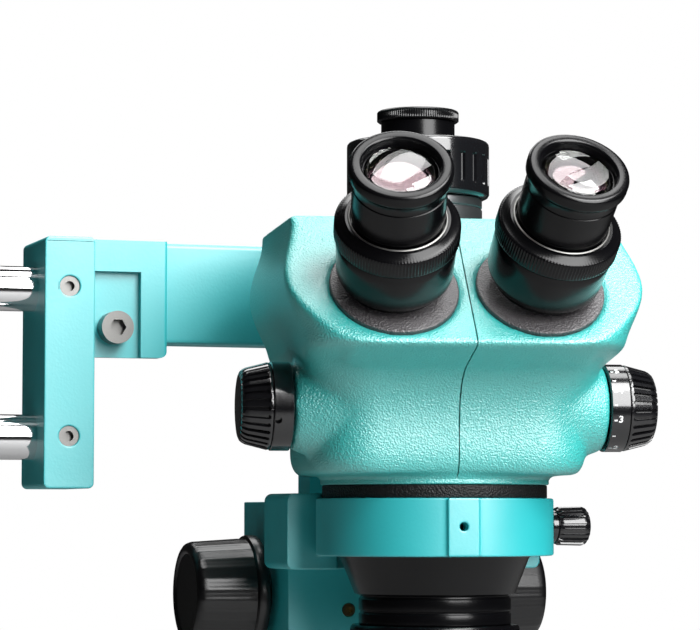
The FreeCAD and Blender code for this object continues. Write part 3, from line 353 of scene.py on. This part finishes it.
def curve_rows(r0, z0, r1, z1, count):
    """Points evenly set along a straight part of an outline, so that a part of it can be drawn in."""
    return [(r0 + (r1 - r0) * n / count, z0 + (z1 - z0) * n / count) for n in range(1, count + 1)]


def drawn_in(piece, count, share, depth, low, high, least):
    """Draws evenly spaced strips of a turned piece towards its axis: flutes, slots or a fine knurl.

    Share is a strip's part of the pitch. Only points between low and high and beyond the least radius move.
    """
    alone(piece)
    picked = []
    for point in piece.data.vertices:
        x, y, z = (c / MM for c in point.co)
        radius, pitch = math.hypot(x, y), count * math.atan2(y, x) / (2 * math.pi) % 1.0
        point.select = low < z < high and radius > least and abs(pitch - 0.5) < share / 2 + 1e-4
        if point.select:
            picked.append(radius)
    factor = 1 - depth * len(picked) / sum(picked)
    bpy.ops.object.mode_set(mode="EDIT")
    bpy.ops.mesh.select_mode(type="VERT")
    bpy.ops.transform.resize(value=(factor, factor, 1), center_override=(0, 0, 0))
    bpy.ops.object.mode_set(mode="OBJECT")
    return piece


def axis_frame(joint, across):
    """A frame whose Z is a joint's axis and whose X is as near to a given direction as it can be."""
    z = Vector(joints[joint]["axis"]).normalized()
    y = z.cross(Vector(across)).normalized()
    x = y.cross(z)
    turn = Matrix((x, y, z)).transposed().to_4x4()
    place = Vector(joints[joint].get("pos_m", (0, 0, 0)))
    return Matrix.Translation(place) @ turn


def shaft_end(joint, side):
    """A cross shaft's frame, with Z pointing out of the part on the given side."""
    where = axis_frame(joint, (0, 0, 1))
    return where if side > 0 else where @ Matrix.Rotation(math.pi, 4, "X")


def span(node, where):
    """Lowest and highest place of a node along a frame's Z, and its largest radius, in millimetres."""
    back = where.inverted()
    points = [back @ v.co for v in frame["nodes"][node].data.vertices]
    heights = [p.z / MM for p in points]
    return min(heights), max(heights), max(math.hypot(p.x, p.y) for p in points) / MM


def placed(piece, where, finish, body, slot, *nodes):
    """Settles a finished piece: its place goes into its mesh, and it stands for its nodes."""
    piece.data.transform(where)
    if where.determinant() < 0:
        piece.data.flip_normals()
    piece.data.materials.clear()
    piece.data.materials.append(finish)
    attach(piece, body)
    if nodes:
        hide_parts(*nodes)
    return piece


HEAD_X = Vector(joints["zoom_turn"]["axis"])
SIDES = (("left", -1), ("right", 1))

# %% [markdown]
# Each eyepiece stands on a wrinkle-painted disc that lets into the sloping face. The tube, the knurled
# diopter ring and the eyepiece are spun in a frame whose Z axis is the eyepiece's own axis, which the
# frame of the imported model gives. The lens is made as two pieces, because the photograph shows both: a
# clear domed front element, and a dark one deep inside whose base colour carries a painted reflection:
# it turns pink and then green towards its rim, in place of the coloured reflections of its coating.

# %% Eyepieces
KNURLS, KNURL_DEPTH = 120, 0.22
FRONT_RADIUS, INNER_RADIUS, INNER_DEPTH = 13.2, 11.9, 11.0
EYE_GLASS = material("eye_glass", (0.96, 0.97, 0.95), 0.0, IOR=1.5, Transmission_Weight=1.0)
INNER_GLASS = material("inner_glass_painted_reflection", (0.004, 0.003, 0.006), 0.02, IOR=1.9,
                       Specular_Tint=(1.0, 0.62, 0.72, 1))
# Painted reflection: the inner element's base colour turns pink and then green towards its rim, in place of
# its coating's coloured reflections.
PAINTED_REFLECTION_RINGS = ((0.0, (0.006, 0.005, 0.012)), (0.6, (0.02, 0.010, 0.022)), (0.8, (0.10, 0.055, 0.07)),
           (0.92, (0.05, 0.075, 0.02)), (1.0, (0.006, 0.006, 0.006)))
coated = INNER_GLASS.node_tree
ring_of = coated.nodes.new("ShaderNodeAttribute")
ring_of.attribute_name = "ring"
painted_reflection_ramp = coated.nodes.new("ShaderNodeValToRGB")
while len(painted_reflection_ramp.color_ramp.elements) < len(PAINTED_REFLECTION_RINGS):
    painted_reflection_ramp.color_ramp.elements.new(0.5)
for stop, (where, colour) in zip(painted_reflection_ramp.color_ramp.elements, PAINTED_REFLECTION_RINGS):
    stop.position, stop.color = where, (*colour, 1)
coated.links.new(ring_of.outputs["Fac"], painted_reflection_ramp.inputs["Fac"])
coated.links.new(painted_reflection_ramp.outputs["Color"], coated.nodes["Principled BSDF"].inputs["Base Color"])


def domed(rim, radius, rise, angles):
    """Outline points of a domed face that rises from its rim, at the given angles in degrees."""
    return [(radius * math.cos(t), rim + rise * math.sin(t)) for t in map(math.radians, angles)]


for name in ("left", "right"):
    where = axis_frame("diopter_turn_" + name, HEAD_X)
    face = axis_frame("tube_turn_" + name, HEAD_X)
    low, high, wide = span("eye_disc_" + name, face)
    disc = turned("eye_disc_dressed_" + name, [
        (0, low), (wide, low), (wide, high - 0.35), (wide - 0.35, high), (14, high), (0, high)], 96)
    placed(softened(disc, 0.15), face, DISC_WRINKLE_PAINTED_SHEEN, "tube_" + name, "black_wrinkle", "eye_disc_" + name)

    low, high, wide = span("eye_tube_" + name, where)
    tube = turned("eye_tube_dressed_" + name, [
        (15, low), (17.9, low), (17.9, low + 1.6), (wide - 3.2, low + 1.9), (wide - 2.0, low + 2.5),
        (wide - 1.2, low + 3.6), (wide - 0.7, low + 5.2), (wide - 0.15, high - 4), (wide, high - 1.2),
        (wide - 0.35, high - 0.3), (wide - 1.5, high), (15, high), (15, low)])
    placed(softened(tube, smooth=50), where, SATIN_BLACK, "tube_" + name, "black_anodised",
           "eye_tube_" + name)

    low, high, wide = span("diopter_ring_" + name, where)
    ring = turned("diopter_ring_dressed_" + name, [
        (14.4, low), (wide - 1.0, low), (wide - 0.35, low + 0.25), (wide, low + 0.8), (wide, high - 3.2),
        (wide - 0.05, high - 2.2), (wide - 0.5, high - 1.7), (wide - 1.2, high - 1.45), (19.0, high - 0.5),
        (18.6, high), (17.1, high), (17.1, high - 3), (14.4, high - 3), (14.4, low)], KNURLS * 4)
    drawn_in(ring, KNURLS, 0.5, KNURL_DEPTH, low + 0.7, high - 1.6, wide - 0.7)
    placed(softened(ring, smooth=50), where, SATIN_BLACK, "diopter_" + name, "black_anodised",
           "diopter_ring_" + name)

    low, top, wide = span("eyepiece_" + name, where)
    rim = top - 5.8
    eye = turned("eyepiece_dressed_" + name, [
        (12, low), (13.9, low), (13.9, rim - 20), (16.2, rim - 20), (16.6, rim - 17.6), (16.75, rim - 8),
        (16.8, rim - 4.2), (16.45, rim - 4.0), (16.45, rim - 3.4), (16.8, rim - 3.2), (16.9, rim - 0.4),
        (17.4, rim + 0.4), (wide - 0.1, rim + 1.2), (wide, rim + 2.0), (wide, top - 1.5),
        (wide - 0.3, top - 0.6), (wide - 0.9, top - 0.15), (wide - 1.6, top), (14.6, top),
        (14.1, top - 0.2), (13.7, top - 1.0), (13.3, top - 3.6), (12, top - 3.8), (12, low)])
    placed(softened(eye, smooth=50), where, SATIN_BLACK, "ocular_" + name, "black_anodised",
           "eyepiece_" + name)

    front = [(13.25, top - 4.0)] + domed(top - 4.0, FRONT_RADIUS, 3.6, [5 + 8.5 * n for n in range(10)])
    front += [(0, top - 0.4), (0, top - 4.6), (13.25, top - 4.6), (13.25, top - 4.0)]
    lens = turned("eye_lens_dressed_" + name, front, 96)
    placed(softened(lens), where, EYE_GLASS, "ocular_" + name, "coated_glass", "eye_lens_" + name)
    deep = top - INNER_DEPTH
    inner = [(INNER_RADIUS, deep)] + domed(deep, INNER_RADIUS, 5.6, [8 * n for n in range(1, 11)])
    inner += [(0, deep + 5.6), (0, deep - 1), (INNER_RADIUS, deep - 1), (INNER_RADIUS, deep)]
    element = turned("inner_lens_" + name, inner, 96)
    rings = element.data.attributes.new("ring", "FLOAT", "POINT")
    for point, ring in zip(element.data.vertices, rings.data):
        ring.value = math.hypot(point.co.x, point.co.y) / (INNER_RADIUS * MM)
    placed(softened(element), where, INNER_GLASS, "ocular_" + name, "coated_glass")

    low, high, wide = span("diopter_ring_" + name, where)
    seat = turned("barrel_seat_" + name, [
        (17.0, high - 0.5), (17.7, high - 0.5), (17.75, high + 0.05), (17.5, high + 0.3),
        (17.15, high + 0.3), (17.0, high + 0.1), (17.0, high - 0.5)])
    placed(softened(seat, smooth=50), where, STEEL, "diopter_" + name, "steel")
print("eyepieces made")

# %% [markdown]
# The zoom knobs have a smooth skirt that carries the scale, and a fluted grip. Each flute is drawn in
# three times over ever narrower strips, which gives it sloping sides. The scale's ticks and plain figures
# are text turned to mesh and wrapped on the skirt. The left knob shows the hole of its set screw.

# %% Zoom knobs and their scale
FLUTES, FLUTE_DEPTH = 32, 1.25
TICK_SIZE, FIGURE_SIZE = 4.4, 3.8
PRINT_GROWTH, PRINT_RISE = 0.09, 0.07
SCALE = ((-88, ""), (-54, "5"), (-37, ""), (-21, "4"), (-3, ""), (17, "3"), (40, ""), (65, "2"), (92, ""),
         (122, "1"), (142, ""), (166, "0.7"))


def print_on(name, text, onto, radius, degrees, height, size, place, body, finish=PRINT_WHITE):
    """A printed figure: text made a mesh, laid beside the skirt and wrapped on it with Shrinkwrap."""
    alone(None)
    bpy.ops.object.text_add()
    figure = bpy.context.object
    figure.data.body, figure.data.size, figure.data.resolution_u = text, size * MM, 4
    figure.data.align_x, figure.data.align_y = "LEFT", "CENTER"
    figure.data.offset = PRINT_GROWTH * MM
    bpy.ops.object.convert(target="MESH")
    figure = bpy.context.object
    figure.name = name
    bpy.ops.object.mode_set(mode="EDIT")
    bpy.ops.mesh.select_all(action="SELECT")
    bpy.ops.mesh.subdivide(number_cuts=2)
    bpy.ops.object.mode_set(mode="OBJECT")
    beside = Matrix.Translation(((radius + 1) * MM, 0, height * MM))
    facing = Matrix(((0, 0, 1), (0, -1, 0), (1, 0, 0))).to_4x4()
    figure.data.transform(Matrix.Rotation(math.radians(90 + degrees), 4, "Z") @ beside @ facing)
    wrap = figure.modifiers.new("wrap", "SHRINKWRAP")
    wrap.target, wrap.offset = onto, PRINT_RISE * MM
    bpy.ops.object.modifier_apply(modifier="wrap")
    placed(figure, place, finish, body, "black_plastic")


for name, side in SIDES:
    where = shaft_end("zoom_turn", side)
    low, high, wide = span("zoom_knob_" + name, where)
    skirt, end = low + 7.5, high
    grip = [(wide - 0.4, skirt + 0.3)] + curve_rows(wide - 0.2, skirt + 0.6, 14.1, end - 2.6, 20)
    grip += [(13.6, end - 1.6), (12.9, end - 0.7), (11.8, end - 0.2), (10.6, end), (0, end)]
    knob = turned("zoom_knob_dressed_" + name, [
        (4.2, low), (wide - 0.5, low), (wide, low + 0.4), (wide, skirt - 0.4), (wide - 0.35, skirt - 0.1),
        (wide - 0.75, skirt + 0.05)] + grip, FLUTES * 12)
    for share, depth, start in ((0.42, 0.6, 1.5), (0.25, 0.3, 1.2), (0.1, 0.1, 0.8)):
        drawn_in(knob, FLUTES, share, FLUTE_DEPTH * depth, skirt + start, end - 0.6, 11)
    if side > 0:
        for degrees, figure in SCALE:
            print_on("zoom_mark_%d" % (degrees + 100), "-", knob, wide, degrees, low + 0.9, TICK_SIZE,
                     where, "zoom_drive")
            if figure:
                print_on("zoom_figure_%d" % (degrees + 100), figure, knob, wide, degrees, low + 2.6,
                         FIGURE_SIZE, where, "zoom_drive")
    else:
        bpy.ops.mesh.primitive_cylinder_add(vertices=32, radius=1.4 * MM, depth=4 * MM)
        drill = bpy.context.object
        drill.data.transform(Matrix.Translation((0, wide * MM, (skirt - 1.6) * MM))
                             @ Matrix.Rotation(math.pi / 2, 4, "X"))
        drill.data.transform(Matrix.Rotation(math.radians(160), 4, "Z"))
        cut_by(knob, drill)
    placed(softened(knob, smooth=35), where, GLOSS_BLACK, "zoom_drive", "black_plastic", "zoom_knob_" + name)

# %% [markdown]
# The focus knobs are plain: a stepped collar, a slightly tapered grip with shallow flutes, and a dished
# end. The clamp screw of the ring has a fluted grip of the same kind in small.

# %% Focus knobs and lock knob
FOCUS_FLUTES, LOCK_FLUTES = 30, 18
for name, side in SIDES:
    where = shaft_end("focus_turn", side)
    low, high, wide = span("focus_knob_" + name, where)
    knob = turned("focus_knob_dressed_" + name, [
        (4.2, low), (wide - 0.8, low), (wide - 0.2, low + 0.4), (wide, low + 1.2), (wide, low + 3.6),
        (wide - 0.3, low + 4.5), (wide - 1.0, low + 5.0), (wide - 1.5, low + 5.2)]
        + curve_rows(wide - 1.35, low + 6, 20.6, high - 3, 12)
        + [(20.4, high - 2.2), (19.9, high - 1.2), (19.0, high - 0.5), (17.8, high - 0.1), (16.6, high - 0.3),
           (15.8, high - 0.9), (5, high - 1.1), (0, high - 1.1)], FOCUS_FLUTES * 8)
    for share, depth in ((0.5, 0.06), (0.25, 0.06)):
        drawn_in(knob, FOCUS_FLUTES, share, depth, low + 6.2, high - 1.5, 19.5)
    placed(softened(knob, smooth=35), where, SEMI_BLACK, "focus_drive", "black_plastic",
           "focus_knob_" + name)

where = axis_frame("lock_turn", (0, 0, 1))
low, high, wide = span("lock_screw", where)
neck = high - 13.0 - 3.2
lock = turned("lock_knob_dressed", [
    (0, low), (2.9, low), (2.9, neck), (5.6, neck), (6.2, neck + 0.4), (6.4, neck + 1), (6.4, neck + 2.6),
    (6.1, neck + 3.0), (6.7, neck + 3.2)] + curve_rows(7.3, neck + 3.6, 7.55, high - 2.2, 12)
    + [(7.3, high - 1.2), (6.7, high - 0.5), (5.8, high - 0.1), (5.0, high), (0, high)], LOCK_FLUTES * 10)
for share, depth in ((0.6, 0.5), (0.4, 0.25), (0.2, 0.1)):
    drawn_in(lock, LOCK_FLUTES, share, depth, neck + 3.7, high - 0.3, 5.5)
placed(softened(lock, smooth=35), where, GLOSS_BLACK, "ring_lock", "black_plastic", "lock_screw")

# %% [markdown]
# The camera port stacks four turned pieces: a grey collar, a locking ring with tall narrow slots,
# the photo tube and its knurled dust cap. A slot is drawn in once only, so its sides are steep.

# %% Camera port
RIBS, CAP_KNURLS = 26, 110

where = axis_frame("port_ring_turn", HEAD_X)
low, high, wide = span("port_base", where)
base = turned("port_base_dressed", [
    (14.9, low), (wide - 0.3, low), (wide, low + 0.3), (wide, high - 4.4), (wide - 0.5, high - 4.2),
    (wide - 0.5, high - 3.6), (wide - 0.05, high - 3.4), (wide - 0.05, high - 0.5), (wide - 0.5, high),
    (14.9, high), (14.9, low)])
placed(softened(base, 0.12), where, GREY_METAL, "head", "grey_anodised", "port_base")
low, high, wide = span("port_ring", where)
rows = curve_rows(wide, low + 1.6, wide, high - 2.0, 24)
ring = turned("port_ring_dressed", [
    (14.9, low), (wide - 1.6, low), (wide - 0.6, low + 0.5), (wide, low + 1.5)] + rows
    + [(wide - 0.15, high - 1.1), (wide - 0.7, high - 0.4), (wide - 1.6, high), (wide - 5, high),
       (wide - 6, high - 0.8), (wide - 9.5, high - 0.8), (14.9, high - 0.8), (14.9, low)], RIBS * 16)
drawn_in(ring, RIBS, 0.28, 1.2, low + 0.22 * (high - low), low + 0.72 * (high - low), wide - 0.4)
placed(softened(ring, smooth=35), where, GLOSS_BLACK, "port_lock", "black_plastic", "port_ring")
low, high, wide = span("photo_tube", where)
tube = turned("photo_tube_dressed", [
    (12.1, low), (wide, low), (wide, high - 0.4), (wide - 0.4, high), (12.1, high), (12.1, low)])
placed(softened(tube, 0.1), where, SATIN_BLACK, "camera_tube", "black_anodised", "photo_tube")
low, high, wide = span("port_cap", where)
rim = high - 4.4
cap = turned("port_cap_dressed", [(0, low), (11.8, low), (11.8, rim), (wide - 0.6, rim), (wide, rim + 0.5)]
             + curve_rows(wide, rim + 0.6, wide, high - 0.7, 6)
             + [(wide - 0.25, high - 0.3), (wide - 0.8, high), (wide - 3.5, high), (wide - 3.8, high - 0.3),
                (0, high - 0.3)], CAP_KNURLS * 4)
drawn_in(cap, CAP_KNURLS, 0.5, 0.3, rim + 0.7, high - 0.8, wide - 0.4)
placed(softened(cap, smooth=35), where, SEMI_BLACK, "dust_cap", "black_plastic", "port_cap")

# %% [markdown]
# Below the head: the lip of the casting, the wrinkle-painted flange in the ring, the black cone and the
# knurled collar of the objective.

# %% Flange, lip, cone and collar
COLLAR_KNURLS = 150

where = axis_frame("head_turn", HEAD_X)
low, high, wide = span("base_flange", where)
edge = low + 20.5
flange = turned("base_flange_dressed", [
    (27, low), (37.95, low), (37.95, edge), (wide - 0.3, edge), (wide, edge + 0.3), (wide, edge + 4.6),
    (wide - 0.4, edge + 5.0), (32.8, edge + 5.0), (32.8, high), (27, high), (27, low)], 160)
placed(softened(flange, 0.1), where, WRINKLE, "head", "black_wrinkle", "base_flange")
foot = edge + 5.05
lip = turned("head_lip_dressed", [
    (40, foot), (42.9, foot), (43.3, foot + 0.4), (43.3, foot + 4.2), (40, foot + 4.2), (40, foot)], 192)
placed(softened(lip), where, MINT, "head", "mint_paint")
low, high, wide = span("objective_cone", where)
cone = turned("objective_cone_dressed", [
    (24, low), (28.4, low), (28.8, low + 0.4), (28.8, low + 4.2), (28.3, low + 4.5), (28.3, low + 5.3),
    (28.8, low + 5.6), (28.8, low + 9.6), (28.4, low + 10.2), (28.2, low + 10.8), (29.0, low + 11.3),
    (30.4, low + 11.7), (wide - 0.8, high - 2.0), (wide, high - 1.2), (wide, high),
    (24, high), (24, low)], 160)
placed(softened(cone, 0.1), where, SATIN_BLACK, "head", "black_anodised", "objective_cone")
low, high, wide = span("ring_light_collar", where)
collar = turned("ring_light_collar_dressed", [(26.5, low), (wide - 0.4, low), (wide, low + 0.4)]
                + curve_rows(wide, low + 0.8, wide, high - 1.4, 10)
                + [(wide - 0.2, high - 0.7), (wide - 0.8, high), (26.5, high), (26.5, low)],
                COLLAR_KNURLS * 4)
drawn_in(collar, COLLAR_KNURLS, 0.5, 0.35, high - 7.2, high - 1.6, wide - 0.3)
placed(softened(collar, smooth=35), where, SATIN_BLACK, "head", "black_anodised", "ring_light_collar")
print("turned pieces made")

# %% [markdown]
# The two halves of the casting start as copies of their solids. A fine voxel remesh makes an even
# skin, and smoothing it rounds the crown, the necks of the zoom knobs and the edge of the slope, as
# paint and casting do. A thin ledge joined on first keeps the edge below the eyepieces from melting away.
# The skin is then parted again, and a groove stays where the halves meet.

# %% Head castings
SKIN_VOXEL, SKIN_ROUNDS, SEAM = 0.95, 26, 0.25
LEDGE_SIZE, LEDGE_PLACE, LEDGE_SLOPE = (90, 18, 3), (0, -68.5, 112.0), math.atan2(5.5, 17)


def copied(node, name):
    """A free copy of a CAD node's mesh, with its doubled points merged."""
    source = frame["nodes"][node]
    piece = source.copy()
    piece.data = source.data.copy()
    piece.name = name
    bpy.context.scene.collection.objects.link(piece)
    piece.parent = None
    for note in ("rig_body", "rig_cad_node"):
        if note in piece:
            del piece[note]
    piece.hide_render = piece.hide_viewport = False
    alone(piece)
    if piece.data.has_custom_normals:
        bpy.ops.mesh.customdata_custom_splitnormals_clear()
    bpy.ops.object.mode_set(mode="EDIT")
    bpy.ops.mesh.select_all(action="SELECT")
    bpy.ops.mesh.remove_doubles(threshold=1e-6)
    bpy.ops.object.mode_set(mode="OBJECT")
    return piece


whole = copied("head_shell_left", "head_skin")
other = copied("head_shell_right", "head_skin_right")
alone(whole)
other.select_set(True)
bpy.ops.object.join()
bpy.ops.mesh.primitive_cube_add(size=1)
ledge = bpy.context.object
bpy.ops.object.mode_set(mode="EDIT")
bpy.ops.transform.resize(value=[length * MM for length in LEDGE_SIZE])
bpy.ops.object.mode_set(mode="OBJECT")
ledge.data.transform(Matrix.Translation(Vector(LEDGE_PLACE) * MM) @ Matrix.Rotation(-LEDGE_SLOPE, 4, "X"))
ledge.data.transform(Matrix.Rotation(math.atan2(HEAD_X.y, HEAD_X.x), 4, "Z"))
alone(whole)
ledge.select_set(True)
bpy.ops.object.join()
remesh = whole.modifiers.new("skin", "REMESH")
remesh.mode, remesh.voxel_size = "VOXEL", SKIN_VOXEL * MM
bpy.ops.object.modifier_apply(modifier="skin")
smooth = whole.modifiers.new("smooth", "SMOOTH")
smooth.factor, smooth.iterations = 0.5, SKIN_ROUNDS
bpy.ops.object.modifier_apply(modifier="smooth")
print("head skin", len(whole.data.polygons), "faces")
for name, side in SIDES:
    alone(whole)
    bpy.ops.object.duplicate()
    half = bpy.context.object
    half.name = "head_shell_dressed_" + name
    bpy.ops.object.mode_set(mode="EDIT")
    bpy.ops.mesh.select_all(action="SELECT")
    bpy.ops.mesh.bisect(plane_co=HEAD_X * side * SEAM * MM, plane_no=HEAD_X * side,
                        use_fill=True, clear_inner=True)
    bpy.ops.object.mode_set(mode="OBJECT")
    softened(half, smooth=50)
    print(half.name, len(half.data.polygons), "faces")
    placed(half, Matrix.Identity(4), MINT, "head", "mint_paint", "head_shell_" + name)
    if side > 0:
        where = shaft_end("zoom_turn", side)
        low, high, wide = span("zoom_knob_right", where)
        print_on("zoom_index", "-", half, 17, -30, low - 2.6, TICK_SIZE, where, "head", GLOSS_BLACK)
bpy.data.objects.remove(whole)

# %% [markdown]
# The stand's castings and plates are plain solids, right as they are but for their edges, which are
# knife sharp. A copy of each gets a narrow round on every sharp edge, because a cast or milled edge
# always has one and it shows as a thin line of light. A copy that the round would spoil stays sharp.
# The bracket has no such round, but the wide outer corner that the photograph shows at its foot.

# %% Stand castings with rounded edges
FOOT_ROUND = 3.2
EDGED = (("ring_holder", 0.8), ("focus_housing", 0.5), ("housing_cover", 0.4), ("column", 0.5), ("arm", 0.7),
         ("arm_bracket", 0.0), ("end_block", 0.8))


def corners(points):
    """Lowest and highest corner of a list of points, in millimetres."""
    return [round(pick(point[axis] for point in points) / MM, 2) for pick in (min, max) for axis in range(3)]


def foot_corner_rounded(piece, radius):
    """Rounds the lower right corner of the bracket, which hangs below the arm, as far back as the arm."""
    points = [v.co for v in piece.data.vertices]
    right = max(point.x for point in points) / MM
    front, foot = (min(point[axis] for point in points) / MM for axis in (1, 2))
    bpy.ops.mesh.primitive_cube_add(size=1)
    corner = bpy.context.object
    middle = (right + 1 - radius / 2, front + 2, foot - 1 + radius / 2)
    corner.data.transform(Matrix.Translation(Vector(middle) * MM)
                          @ Matrix.Diagonal(((radius + 2) * MM, 9 * MM, (radius + 2) * MM, 1)))
    bpy.ops.mesh.primitive_cylinder_add(vertices=64, radius=radius * MM, depth=12 * MM)
    core = bpy.context.object
    core.data.transform(Matrix.Translation(Vector((right - radius, front + 2, foot + radius)) * MM)
                        @ Matrix.Rotation(math.pi / 2, 4, "X"))
    cut_by(corner, core)
    cut_by(piece, corner)


records = {subpart["node"]: subpart for subpart in frame["record"]["subparts"]}
for node, width in EDGED:
    before = corners([v.co for v in frame["nodes"][node].data.vertices])
    for attempt in (width, 0.0):
        piece = copied(node, node + "_dressed")
        bpy.ops.object.mode_set(mode="EDIT")
        bpy.ops.mesh.select_all(action="SELECT")
        bpy.ops.mesh.dissolve_limited(angle_limit=math.radians(0.5))
        bpy.ops.object.mode_set(mode="OBJECT")
        if node == "arm_bracket":
            foot_corner_rounded(piece, FOOT_ROUND)
        if attempt:
            bevel = piece.modifiers.new("edge", "BEVEL")
            bevel.width, bevel.segments, bevel.use_clamp_overlap = attempt * MM, 2, False
            bevel.limit_method, bevel.angle_limit = "ANGLE", math.radians(50)
            bpy.ops.object.modifier_apply(modifier="edge")
        bpy.ops.object.shade_smooth_by_angle(angle=math.radians(40))
        even = piece.modifiers.new("even_faces", "WEIGHTED_NORMAL")
        even.keep_sharp = True
        bpy.ops.object.modifier_apply(modifier="even_faces")
        after = corners([v.co for v in piece.data.vertices])
        if all(abs(a - b) < 0.1 for a, b in zip(before, after)):
            break
        bpy.data.objects.remove(piece)
    print(node, "round", attempt, "faces", len(piece.data.polygons))
    slot = records[node]["material_slot"]
    placed(piece, Matrix.Identity(4), SLOT_FINISH[slot], frame["nodes"][node]["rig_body"], slot, node)
